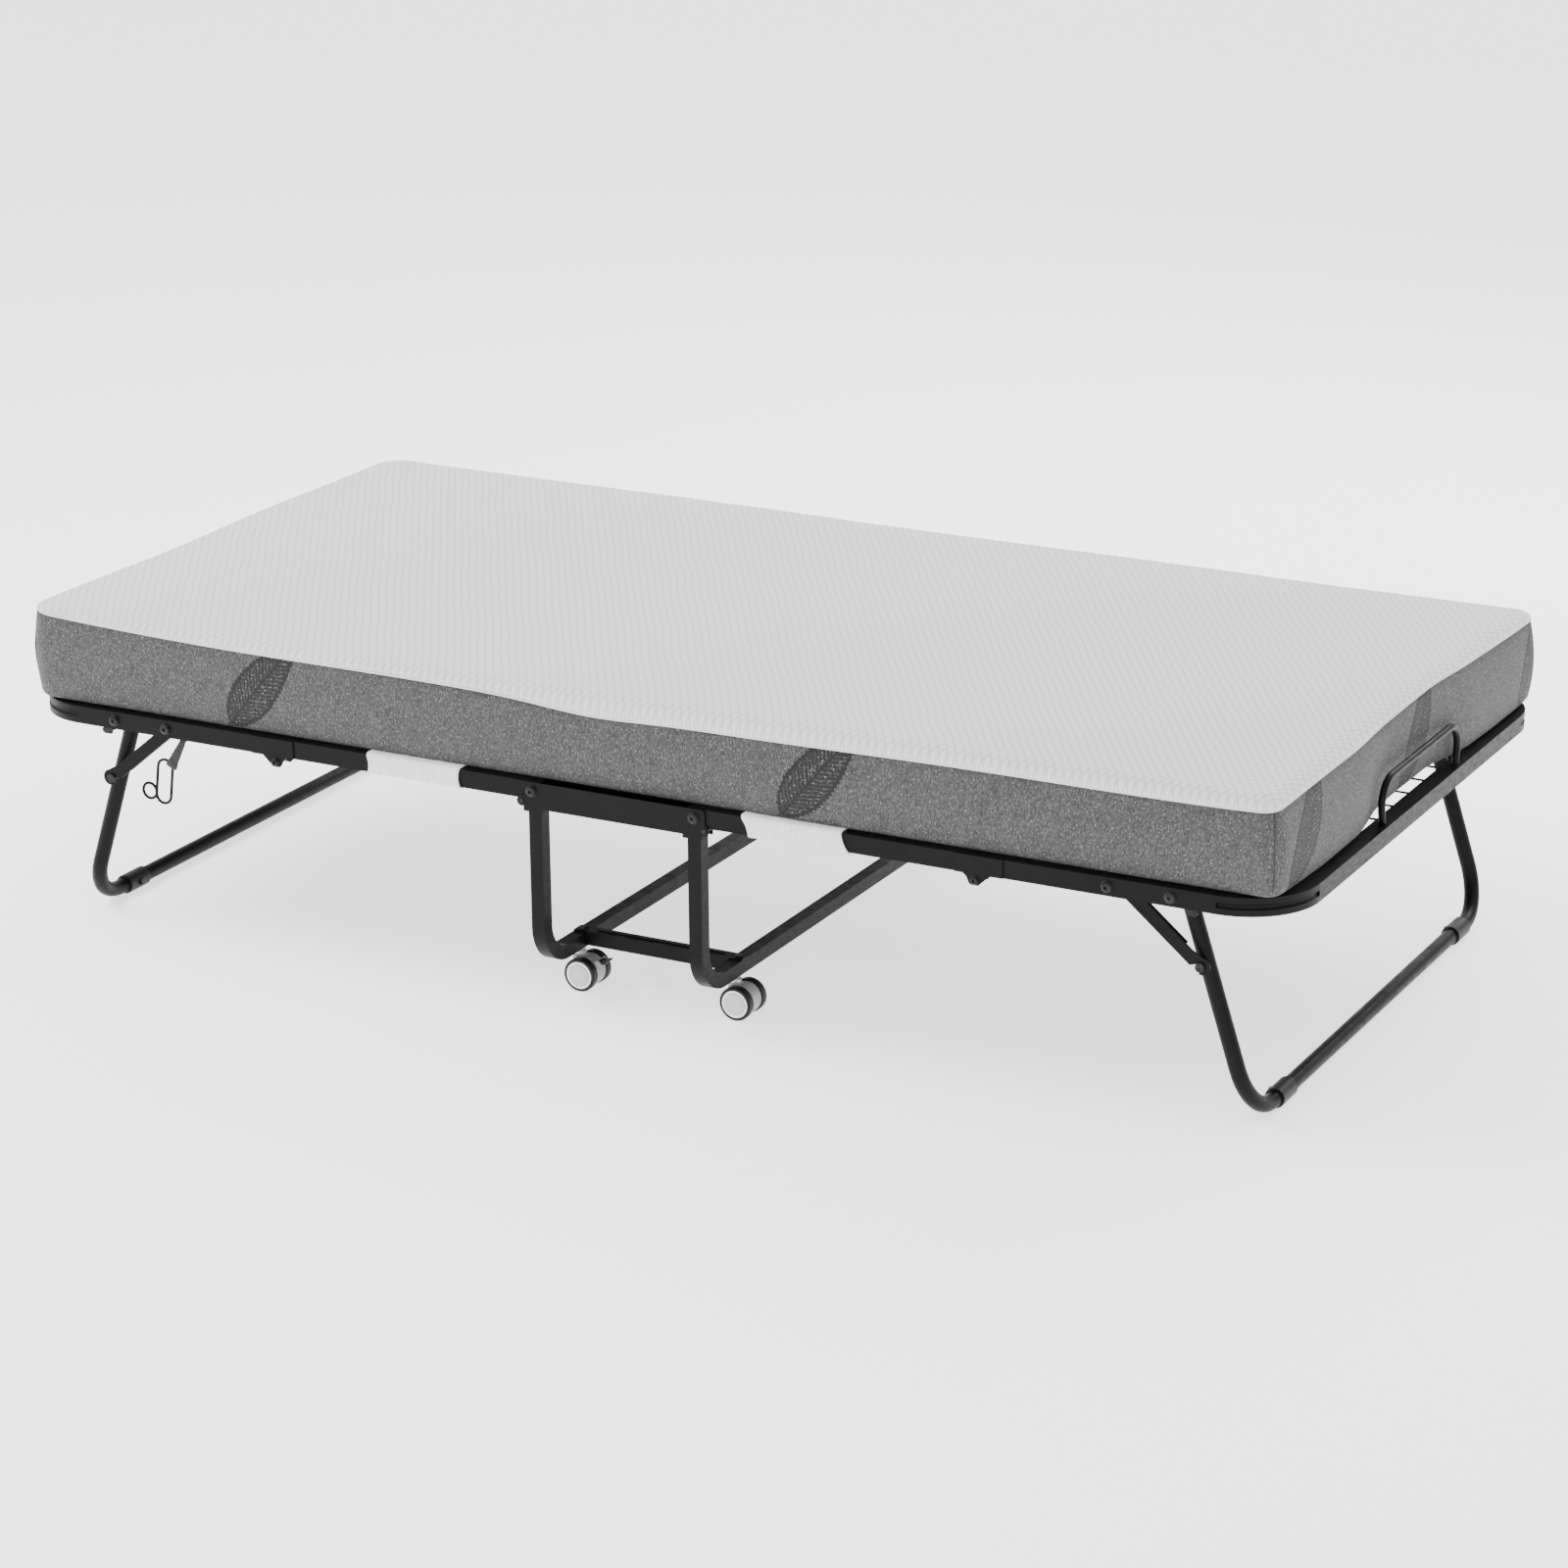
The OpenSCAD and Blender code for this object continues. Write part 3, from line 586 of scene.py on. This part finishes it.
def seam_height(x, y):
    """Height of the seam between the white top and the grey band, which dips between the corners."""
    t = min(max((x - BED_X0) / (BED_X1 - BED_X0), 0.0), 1.0)
    arch = math.sin(math.pi * t)
    ends = SEAM_DROP_HEAD + SEAM_DROP_FOOT * t ** 3
    sag = SEAM_SAG * arch ** 0.55
    sag += SEAM_FOLD_DIP * math.exp(-((x + 0.04) / 0.10) ** 2) + SEAM_WAVE * math.sin(7.0 * x + 0.6) * arch
    ripple = SEAM_RIPPLE * math.sin(11.0 * y) * (1 - (y / BED_HALF_W) ** 2)
    return BED_Z1 - ends - sag + ripple


def belly(t):
    """How far the band stands out at a level from 0 at the underside to 1 at the seam."""
    return BELLY * math.sin(math.pi * t) ** 0.85 - BELLY_INSET


def outline():
    """Plan outline of the mattress as (x, y, nx, ny, deepest inset), anticlockwise.

    Starts at the near foot corner, and also returns the places of the four corners' middles.
    """
    h = BED_HALF_W
    f, g = CORNER_FOOT, CORNER_HEAD
    turns = ((BED_X1 - f, -h + f, f, -90, SHORT_CUTS), (BED_X1 - f, h - f, f, 0, LONG_CUTS),
             (BED_X0 + g, h - g, g, 90, SHORT_CUTS), (BED_X0 + g, -h + g, g, 180, LONG_CUTS))
    points = []
    middles = []
    for i, (cx, cy, r, start, cuts) in enumerate(turns):
        for k in range(ARC_STEPS + 1):
            a = math.radians(start + 90 * k / ARC_STEPS)
            nx, ny = math.cos(a), math.sin(a)
            points.append((cx + r * nx, cy + r * ny, nx, ny, r - 0.002))
        middles.append(len(points) - 1 - ARC_STEPS // 2)
        next_cx, next_cy, next_r, next_start, _ = turns[(i + 1) % 4]
        a = math.radians(next_start)
        nx, ny = math.cos(a), math.sin(a)
        last = points[-1]
        after = (next_cx + next_r * nx, next_cy + next_r * ny, nx, ny)
        for k in range(1, cuts):
            t = k / cuts
            points.append(tuple(p + (q - p) * t for p, q in zip(last, after)) + (BED_HALF_W,))
    return points, middles


def band_rows():
    """Rings of points round the mattress from the underside up over the white edge."""
    ring, _ = outline()
    base = np.array(ring)
    count = len(ring)
    seams = np.array([seam_height(p[0], p[1]) for p in ring])
    rows = []

    def row(z, inset):
        inset = np.minimum(inset, base[:, 4])
        xy = base[:, :2] - base[:, 2:4] * inset[:, None]
        rows.append(np.column_stack([xy, z * np.ones(count)]))

    for k in range(LOW_STEPS + 1):
        a = math.radians(90 * k / LOW_STEPS)
        row(BED_Z0 + LOW_R * (1 - math.cos(a)), LOW_R * (1 - math.sin(a)) - belly(0.0))
    low = BED_Z0 + LOW_R
    for k in range(1, BAND_STEPS + 1):
        t = k / BAND_STEPS
        row(low + (seams - 0.0016 - low) * t, -belly(t))
    row(seams - 0.0004, GROOVE_INSET)
    seam_row = len(rows) - 1
    row(seams + EDGE_RISE, 0.0026)
    rise = BED_Z1 - TOP_DROP - seams
    for k in range(1, EDGE_STEPS + 1):
        a = math.radians(90 * k / EDGE_STEPS)
        row(seams + EDGE_RISE + (rise - EDGE_RISE) * math.sin(a) ** 1.2,
            EDGE_INSET + EDGE_REACH * (1 - math.cos(a)) ** 1.15)
    return rows, seam_row


def top_height(x, y):
    """Height of the top at a plan point: a soft crown that flattens to the edges."""
    ex = min(x - BED_X0, BED_X1 - x)
    ey = BED_HALF_W - abs(y)
    return BED_Z1 - TOP_DROP + TOP_CROWN * float(smooth((min(ex, ey) - EDGE_REACH) / TOP_EASE))


def patch(bm, line, middles, height, slot, flip):
    """Closes a ring with an even grid between its four sides."""
    foot_near, foot_far, head_far, head_near = middles
    count = len(line)
    near = [line[(head_near + k) % count] for k in range((foot_near - head_near) % count + 1)]
    far = [line[(head_far - k) % count] for k in range((head_far - foot_far) % count + 1)]
    head = [line[(head_near - k) % count] for k in range((head_near - head_far) % count + 1)]
    foot = [line[(foot_near + k) % count] for k in range((foot_far - foot_near) % count + 1)]
    nu, nv = len(near) - 1, len(head) - 1
    grid = [[None] * (nv + 1) for _ in range(nu + 1)]
    for i in range(nu + 1):
        grid[i][0] = near[i]
        grid[i][nv] = far[i]
    for j in range(nv + 1):
        grid[0][j] = head[j]
        grid[nu][j] = foot[j]
    for i in range(1, nu):
        u = (near[i].co.x - near[0].co.x) / (near[nu].co.x - near[0].co.x)
        for j in range(1, nv):
            v = (head[j].co.y - head[0].co.y) / (head[nv].co.y - head[0].co.y)
            p = near[i].co * (1 - v) + far[i].co * v + head[j].co * (1 - u) + foot[j].co * u
            p -= near[0].co * (1 - u) * (1 - v) + near[nu].co * u * (1 - v)
            p -= far[0].co * (1 - u) * v + far[nu].co * u * v
            grid[i][j] = bm.verts.new((p.x, p.y, height(p.x, p.y)))
    for i in range(nu):
        for j in range(nv):
            quad = [grid[i][j], grid[i + 1][j], grid[i + 1][j + 1], grid[i][j + 1]]
            face = bm.faces.new(list(reversed(quad)) if flip else quad)
            face.material_index = slot
            face.smooth = True


def build_mattress():
    """The mattress as one mesh object, white above the seam and grey below."""
    rows, seam_row = band_rows()
    _, middles = outline()
    count = len(rows[0])
    mesh = bpy.data.meshes.new("mattress")
    bm = bmesh.new()
    lines = [[bm.verts.new(tuple(p)) for p in row] for row in rows]
    for i in range(len(rows) - 1):
        for k in range(count):
            m = (k + 1) % count
            face = bm.faces.new((lines[i][k], lines[i][m], lines[i + 1][m], lines[i + 1][k]))
            face.material_index = 0 if i >= seam_row else 1
            face.smooth = True
    patch(bm, lines[-1], middles, top_height, 0, False)
    patch(bm, lines[0], middles, lambda x, y: BED_Z0, 1, True)
    bm.to_mesh(mesh)
    bm.free()
    obj = bpy.data.objects.new("mattress", mesh)
    bpy.context.collection.objects.link(obj)
    mesh.materials.append(TOP)
    mesh.materials.append(SIDE)
    return obj


def slump(p):
    """Foam against the handle: drawn in and lifted between the posts, spread over the rail beside them."""
    x, y, z = p
    near_foot = float(smooth((x - BED_X1 + FOOT_REACH) / FOOT_REACH))
    across = y / BED_HALF_W
    level = (z - BED_Z0) / BED_T
    middle = 1 - across ** 2
    beside = 1 - float(smooth((FOOT_WIDE - abs(across)) / FOOT_EASE))
    skew = FOOT_SKEW * near_foot * max(0.0, across) ** 2
    push = FOOT_PUSH * beside * (1 - across ** 6) * (1 - FOOT_TOP_SHARE * level)
    shift = skew + (push - FOOT_INSET * middle) * near_foot ** 4
    return Vector((x + shift, y, z + FOOT_LIFT * middle * (1 - 0.6 * beside) * near_foot ** 2))


def pucker(x, y, level, normal):
    """Puckers along the white edge, finest beside the seam."""
    edge = math.exp(-((level - PUCKER_LEVEL) / 0.10) ** 2)
    run = x if abs(normal[1]) > abs(normal[0]) else y
    return PUCKER * edge * noise.noise(Vector((run * 42.0, level * 3.0, 2.0 + abs(normal[1]))))


def drag(x, level):
    """A valley and a ridge from each strap's outer end up the band."""
    if level >= DRAG_TOP:
        return 0.0
    depth = 0.0
    for strap_x, way in DRAG_LINES:
        line = strap_x - way * (0.010 + 0.075 * level ** 0.7)
        valley = (x - line) / 0.010
        ridge = (x - line - way * 0.022) / 0.018
        depth += DRAG_RIDGE * math.exp(-ridge * ridge) - DRAG_VALLEY * math.exp(-valley * valley)
    return depth * (1 - level / DRAG_TOP)


def relief(co, normal):
    """How far a point of the cover stands proud: foam swells, edge puckers and the straps' drag lines."""
    x, y, z = co
    v = Vector((x, y, z))
    swell = SWELL_BROAD * noise.noise(v * 3.3) + SWELL_FINE * noise.noise(v * 13.0)
    side = 1 - abs(normal[2])
    level = (z - BED_Z0) / BED_T
    upright = side > 0.4
    return swell + side * (pucker(x, y, level, normal) + (drag(x, level) if upright else 0.0))


def settle(obj):
    """Moves every point out by its relief, along the surface, and keeps the underside flat."""
    mesh = obj.data
    mesh.update()
    points = [vertex.co.copy() for vertex in mesh.vertices]
    normals = [vertex.normal.copy() for vertex in mesh.vertices]
    for vertex, p, n in zip(mesh.vertices, points, normals):
        lift = relief(p, n) if n.z > -0.8 else 0.0
        vertex.co = slump(p + n * lift)
    mesh.update()


def split_at_middle(obj):
    """Cuts the mattress at X = 0 into two halves, each closed by a flat cap that is shaded on its own."""
    halves = []
    for name, way in (("mattress_head_half", -1), ("mattress_foot_half", 1)):
        half = obj.copy()
        half.data = obj.data.copy()
        half.name = name
        half.data.name = name
        bpy.context.collection.objects.link(half)
        bm = bmesh.new()
        bm.from_mesh(half.data)
        geometry = bm.verts[:] + bm.edges[:] + bm.faces[:]
        bmesh.ops.bisect_plane(bm, geom=geometry, plane_co=(0, 0, 0), plane_no=(way, 0, 0),
                               clear_inner=True, dist=1e-6)
        rim = [edge for edge in bm.edges if edge.is_boundary]
        for face in bmesh.ops.holes_fill(bm, edges=rim, sides=0)["faces"]:
            face.smooth = False
            face.material_index = 1
        for edge in rim:
            edge.smooth = False
        bm.to_mesh(half.data)
        bm.free()
        halves.append(half)
    bpy.data.objects.remove(obj)
    return halves


def seam_points():
    """Points of the piping's line in the seam's groove, round the whole mattress."""
    points = []
    for x, y, nx, ny, _ in outline()[0]:
        place = (x - nx * PIPING_INSET, y - ny * PIPING_INSET, seam_height(x, y) + PIPING_RISE)
        points.append(tuple(slump(place)))
    return points


STITCH_SIDES = 6
STITCH_SHARE = 0.62


def stitch_row(name, points, radius, material):
    """Short separate stitches along a line, as one mesh."""
    verts = []
    faces = []
    for p, q in zip(points, points[1:]):
        a = Vector(p)
        b = a + (Vector(q) - a) * STITCH_SHARE
        along = (b - a).normalized()
        n = along.orthogonal().normalized()
        s = along.cross(n)
        start = len(verts)
        for place, r in ((a, 0.5), ((a + b) / 2, 1.0), (b, 0.5)):
            for k in range(STITCH_SIDES):
                t = 2 * math.pi * k / STITCH_SIDES
                verts.append(place + radius * r * (math.cos(t) * n + math.sin(t) * s))
        for ring in (start, start + STITCH_SIDES):
            for k in range(STITCH_SIDES):
                m = (k + 1) % STITCH_SIDES
                faces.append((ring + k, ring + m, ring + STITCH_SIDES + m, ring + STITCH_SIDES + k))
        faces.append(tuple(start + k for k in reversed(range(STITCH_SIDES))))
        faces.append(tuple(start + 2 * STITCH_SIDES + k for k in range(STITCH_SIDES)))
    return mesh_object(name, verts, faces, material)


def bend(obj):
    """Bakes the object's placement into its mesh."""
    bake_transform(obj)


def make_mattress():
    """The whole mattress, cut in two halves, with its seams."""
    whole = build_mattress()
    settle(whole)
    halves = split_at_middle(whole)
    for half, end in zip(halves, ("head", "foot")):
        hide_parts(f"mattress_{end}", "mattress_centre")
        bend(half)
    make_seams()


def split_line(points, end):
    """The stretch of a closed line on one half of the bed, starting and ending at X = 0."""
    way = -1 if end == "head" else 1
    count = len(points)
    keep = [p[0] * way > 0 for p in points]
    start = next(i for i in range(count) if keep[i] and not keep[i - 1])
    run = []
    for k in range(count):
        p = points[(start + k) % count]
        if not keep[(start + k) % count]:
            break
        run.append(p)
    first = Vector(points[start - 1]).lerp(Vector(run[0]), 0.5)
    first.x = 0.0
    last = Vector(points[(start + len(run)) % count]).lerp(Vector(run[-1]), 0.5)
    last.x = 0.0
    return [tuple(first)] + run + [tuple(last)]


def make_seams():
    """Piping at the seam, and the dark closing seams up the four corners."""
    piping = seam_points()
    for end in ("head", "foot"):
        line = split_line(piping, end)
        cord = tube_object(f"seam_piping_{end}", line, PIPING_R, PALE_THREAD, 8)
        bend(cord)
    for end, x, radius in (("head", BED_X0, CORNER_HEAD), ("foot", BED_X1, CORNER_FOOT)):
        way = -1 if end == "head" else 1
        for side, s in (("near", -1), ("far", 1)):
            points = corner_line(x - way * radius, s * (BED_HALF_W - radius), way, s, radius, x)
            seam = tube_object(f"corner_seam_{end}_{side}", points, CORNER_SEAM_R, DARK_THREAD, 6)
            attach(seam, f"{end}_half")


def corner_line(cx, cy, way, s, radius, x):
    """The closing seam up one corner, on the swollen band.

    (cx, cy) is the centre of the corner's arc, way and s its directions in X and Y, x the bed's end.
    """
    diagonal = math.sqrt(0.5)
    points = []
    low = BED_Z0 + LOW_R
    high = seam_height(x, s * BED_HALF_W) - 0.002
    for k in range(CORNER_SEAM_STEPS + 1):
        t = k / CORNER_SEAM_STEPS
        z = low + (high - low) * t
        out = radius + 0.0004 + belly(t)
        wobble = 0.0008 * math.sin(9 * t)
        points.append(tuple(slump((cx + way * diagonal * out + wobble, cy + s * diagonal * out, z))))
    return points


# ---- straps ----

STRAP_THICK = 0.0016
STRAP_CLEAR = 0.0009
STRAP_CORNER = 0.0035
STRAP_STEP = 0.0025
STRAP_COLUMNS = 60
STRAP_HEM = 0.007
STRAP_BOW = 0.0025
STRAP_RIPPLE = 0.0006
STRAP_SLANT = {"head": 0.001, "foot": 0.011}
STRAP_TOP = RAIL_TOP + STRAP_CLEAR
STRAP_LOW = RAIL_BOT - STRAP_CLEAR


def strap_path():
    """Closed path round the rail's section as (y, z, ny, nz), with rounded corners."""
    r = STRAP_CORNER
    y_out, y_in = RAIL_OUT + STRAP_CLEAR - r, RAIL_IN - STRAP_CLEAR + r
    corners = ((y_out, STRAP_LOW + r, -90), (y_out, STRAP_TOP - r, 0), (y_in, STRAP_TOP - r, 90),
               (y_in, STRAP_LOW + r, 180))
    loop = []
    for cy, cz, start in corners:
        for k in range(5):
            a = math.radians(start + 22.5 * k)
            loop.append((cy + r * math.cos(a), cz + r * math.sin(a), math.cos(a), math.sin(a)))
    path = []
    for p, q in zip(loop, loop[1:] + loop[:1]):
        cuts = max(1, round(math.hypot(q[0] - p[0], q[1] - p[1]) / STRAP_STEP))
        for k in range(cuts):
            path.append(tuple(a + (b - a) * k / cuts for a, b in zip(p, q)))
    return path


def strap_verts(path, x0, x1, side, slant):
    """Inner then outer points of each column along the strap."""
    verts = []
    for j in range(STRAP_COLUMNS + 1):
        u = j / STRAP_COLUMNS
        hem = min(u, 1 - u) * (x1 - x0)
        thick = STRAP_THICK * (1.35 if hem < STRAP_HEM else 1.0)
        for layer in (0.0, 1.0):
            for cy, cz, ny, nz in path:
                level = (cz - STRAP_LOW) / (STRAP_TOP - STRAP_LOW)
                bow = STRAP_BOW * math.sin(math.pi * level) * (1 - 2 * u)
                lean = slant * (0.5 - level)
                x = x0 + (x1 - x0) * u + bow * abs(1 - 2 * u) + lean
                ripple = STRAP_RIPPLE * noise.noise(Vector((x * 90.0, level * 2.5, side * 3.0)))
                off = layer * (thick + ripple)
                verts.append((x, side * (cy + ny * off), cz + nz * off))
    return verts


def strap_mesh(name, x0, x1, side, slant):
    """Elastic band round a rail: a closed loop whose ends bow in, with a turned hem at each edge."""
    path = strap_path()
    count = len(path)
    stride = 2 * count
    faces = []
    for j in range(STRAP_COLUMNS):
        a = j * stride
        b = a + stride
        for k in range(count):
            m = (k + 1) % count
            faces.append((a + k, a + m, b + m, b + k))
            faces.append((a + count + m, a + count + k, b + count + k, b + count + m))
    for a, flip in ((0, False), (STRAP_COLUMNS * stride, True)):
        for k in range(count):
            m = (k + 1) % count
            face = (a + m, a + k, a + count + k, a + count + m)
            faces.append(tuple(reversed(face)) if flip else face)
    obj = mesh_object(name, strap_verts(path, x0, x1, side, slant), faces, MATERIALS["white_elastic"])
    fix_normals(obj)
    return obj


def make_straps():
    """The four elastic straps, one round each side rail of each half."""
    for end in ("head", "foot"):
        x0, x1 = corner(f"{end}_straps", False, 0), corner(f"{end}_straps", True, 0)
        for side, s in (("near", -1), ("far", 1)):
            strap = strap_mesh(f"strap_{end}_{side}", x0, x1, s, STRAP_SLANT[end])
            if side == "near":
                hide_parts(f"{end}_straps")
            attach(strap, f"{end}_half")


# ---- latch ----

WEB_TOP_HALF = 0.0044
WEB_END_HALF = 0.0085
WEB_THICK = 0.0018
WEB_TILT = math.radians(27)
WEB_RUN = 0.0455
WEB_DOWN = Vector((-math.sin(WEB_TILT), 0, -math.cos(WEB_TILT)))
WEB_ACROSS = Vector((math.cos(WEB_TILT), 0, -math.sin(WEB_TILT)))
WEB_ROWS = 26
WEB_COLUMNS = 8
WEB_GATHER = 0.08
WIRE_R = 0.002
TACK_AT = 0.70
TACK_SHARE = 0.88
TACK_R = 0.00035


def web_start():
    """Middle of the webbing's top edge, inside the clip."""
    low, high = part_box("latch_strap")
    return Vector((corner("latch_clip", False, 0) + 0.004, (low[1] + high[1]) / 2, high[2] - 0.0046))


def hook_middle():
    """Y of the wire hook that the webbing folds round."""
    return (corner("latch_hook", False, 1) + corner("latch_hook", True, 1)) / 2


def web_point(start, t, u):
    """Point of the webbing at t down it and u across it, before its thickness."""
    half = WEB_TOP_HALF + (WEB_END_HALF - WEB_TOP_HALF) * t
    if t < WEB_GATHER:
        half *= 0.75 + 0.25 * math.sin(math.pi * t / (2 * WEB_GATHER))
    return start + WEB_DOWN * (WEB_RUN * t) + WEB_ACROSS * (half * u)


def web_verts():
    """Both faces of the webbing, thicker at its end where it is folded round the hook's wire."""
    start = web_start()
    shift = hook_middle() - start.y
    verts = []
    for face in (-1, 1):
        for i in range(WEB_ROWS + 1):
            t = i / WEB_ROWS
            wrap = smooth((t - 0.72) / 0.2)
            thick = WEB_THICK / 2 + wrap * (WIRE_R + 0.0004)
            for k in range(WEB_COLUMNS + 1):
                u = 2 * k / WEB_COLUMNS - 1
                edge = 1 - 0.35 * u ** 6
                point = web_point(start, t, u)
                point.y = start.y + shift * float(smooth(t / 0.8)) + face * thick * edge
                point.y += 0.0003 * math.sin(t * 40) * (1 - t)
                verts.append(point)
    return verts


def web_faces():
    """Faces of the two sides and of the rim between them."""
    rows, columns = WEB_ROWS, WEB_COLUMNS
    stride = columns + 1
    back = (rows + 1) * stride
    faces = []
    for i in range(rows):
        for k in range(columns):
            a = i * stride + k
            faces.append((a, a + 1, a + stride + 1, a + stride))
            faces.append((back + a, back + a + stride, back + a + stride + 1, back + a + 1))
    rim = list(range(stride)) + [i * stride + columns for i in range(1, rows + 1)]
    rim += [rows * stride + k for k in range(columns - 1, -1, -1)]
    rim += [i * stride for i in range(rows - 1, 0, -1)]
    for a, b in zip(rim, rim[1:] + rim[:1]):
        faces.append((a, back + a, back + b, b))
    return faces


def make_latch_web():
    """Webbing from the clip under the rail, widening to the hook and folded round its wire."""
    web = mesh_object("latch_web", web_verts(), web_faces(), MATERIALS["black_webbing"])
    fix_normals(web)
    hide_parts("latch_strap")
    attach(web, "latch")


def make_latch_tacks():
    """A row of stitches across each side of the webbing, just above the fold."""
    start = web_start()
    rows = []
    for i, side in enumerate((-1, 1)):
        y = hook_middle() + side * (WEB_THICK / 2 + WIRE_R + 0.0003)
        ends = [web_point(start, TACK_AT, TACK_SHARE * u) for u in (-1, -0.33, 0.33, 1)]
        line = fine_line([(p.x, y, p.z) for p in ends], 9)
        rows.append(stitch_row(f"tack_{i}", line, TACK_R, DARK_THREAD))
    tack = joined("latch_web_tacks", rows)
    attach(tack, "latch")


def fine_line(points, count):
    """Even points along a polyline of evenly spaced corners."""
    result = []
    for i in range(count):
        t = i / (count - 1) * (len(points) - 1)
        k = min(int(t), len(points) - 2)
        result.append(tuple(Vector(points[k]).lerp(Vector(points[k + 1]), t - k)))
    return result


# ---- castors ----


def hub_material(name, centre_x, centre_z, radius):
    """Pale hub cap: soft grey face inside a white rim with a fine dark joint line."""
    m = Nodes(f"hub_{name}")
    x, _, z = m.coordinates()
    dx = m.math("SUBTRACT", x, centre_x)
    dz = m.math("SUBTRACT", z, centre_z)
    r = m.math("SQRT", m.math("ADD", m.math("MULTIPLY", dx, dx), m.math("MULTIPLY", dz, dz)))
    r = m.math("DIVIDE", r, radius)
    r = m.math("ADD", r, m.math("MULTIPLY", m.math("SUBTRACT", m.noise(120.0), 0.5), 0.01))
    colour = m.ramp(r, [(0.0, 0.60), (0.76, 0.52), (0.80, 0.30), (0.83, 0.86), (0.97, 0.88)])
    m.link(colour, m.shader.inputs["Base Color"])
    m.link(m.ramp(m.noise(240.0, 4.0), [(0.3, 0.3), (0.7, 0.42)]), m.shader.inputs["Roughness"])
    m.bump(m.noise(900.0), 0.06, 0.0002)
    return m.material


def dress_hubs():
    """Gives each castor's caps the hub material, centred on that castor."""
    for end in ("head", "foot"):
        for side in ("near", "far"):
            name = f"hub_caps_{end}_{side}"
            low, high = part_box(name)
            centre_x, centre_z = (low[0] + high[0]) / 2, (low[2] + high[2]) / 2
            radius = (high[0] - low[0]) / 2
            cap = NODES[name]
            cap.data.materials.clear()
            cap.data.materials.append(hub_material(f"{end}_{side}", centre_x, centre_z, radius))


# ---- scene ----


CAMERA_PLACE = (2.834, -5.335, 2.235)
CAMERA_AZIMUTH = math.radians(26.0)
CAMERA_ELEVATION = math.radians(19.44)
CAMERA_ROLL = 0.004
CAMERA_LENS = 102.1
CAMERA_SHIFT = (-0.093, 0.040)
FLOOR_REACH = 14.0


def make_camera():
    """The photograph's viewpoint, fitted from the frame's straight lines."""
    data = bpy.data.cameras.new("camera")
    camera = bpy.data.objects.new("camera", data)
    bpy.context.collection.objects.link(camera)
    level = math.cos(CAMERA_ELEVATION)
    toward = Vector((-math.sin(CAMERA_AZIMUTH) * level, math.cos(CAMERA_AZIMUTH) * level,
                     -math.sin(CAMERA_ELEVATION)))
    rotation = toward.to_track_quat("-Z", "Y").to_matrix().to_4x4()
    roll = Matrix.Rotation(CAMERA_ROLL, 4, "Z")
    camera.matrix_world = Matrix.Translation(CAMERA_PLACE) @ rotation @ roll
    data.lens = CAMERA_LENS
    data.sensor_width = 36.0
    data.shift_x, data.shift_y = CAMERA_SHIFT
    data.clip_end = 50.0
    bpy.context.scene.camera = camera


def make_floor():
    """Plain pale studio floor."""
    m = Nodes("studio_floor")
    cloud = m.noise(0.6, 2.0)
    m.link(m.ramp(cloud, [(0.3, 0.93), (0.7, 0.95)]), m.shader.inputs["Base Color"])
    m.set(Roughness=0.85, Emission_Color=(1.0, 1.0, 1.0, 1.0), Emission_Strength=1.5)
    reach = FLOOR_REACH
    corners = [(-reach, -reach, 0), (reach, -reach, 0), (reach, reach, 0), (-reach, reach, 0)]
    floor = mesh_object("floor", corners, [(0, 1, 2, 3)], m.material)


def area_light(name, place, target, size, power):
    """A rectangular soft light at a place, turned to a target."""
    data = bpy.data.lights.new(name, "AREA")
    data.shape = "RECTANGLE"
    data.size, data.size_y = size
    data.energy = power
    light = bpy.data.objects.new(name, data)
    light.location = place
    light.rotation_euler = (Vector(target) - Vector(place)).to_track_quat("-Z", "Y").to_euler()
    bpy.context.collection.objects.link(light)


def make_lights():
    """White surroundings with a key light at the head, a back light and a weak front light."""
    world = bpy.data.worlds.new("studio")
    world.use_nodes = True
    world.node_tree.nodes["Background"].inputs["Color"].default_value = (1.0, 1.0, 1.0, 1.0)
    world.node_tree.nodes["Background"].inputs["Strength"].default_value = 1.25
    bpy.context.scene.world = world
    middle = (0.0, 0.0, 0.3)
    area_light("key", (-2.6, -1.2, 3.6), middle, (2.6, 2.6), 185.0)
    area_light("back", (0.6, 3.2, 2.8), middle, (3.6, 1.6), 150.0)
    area_light("front", (2.2, -4.6, 1.6), middle, (3.0, 1.6), 40.0)


make_camera()
dress_cad()
make_mattress()
make_straps()
make_latch_web()
make_latch_tacks()
dress_hubs()
make_floor()
make_lights()
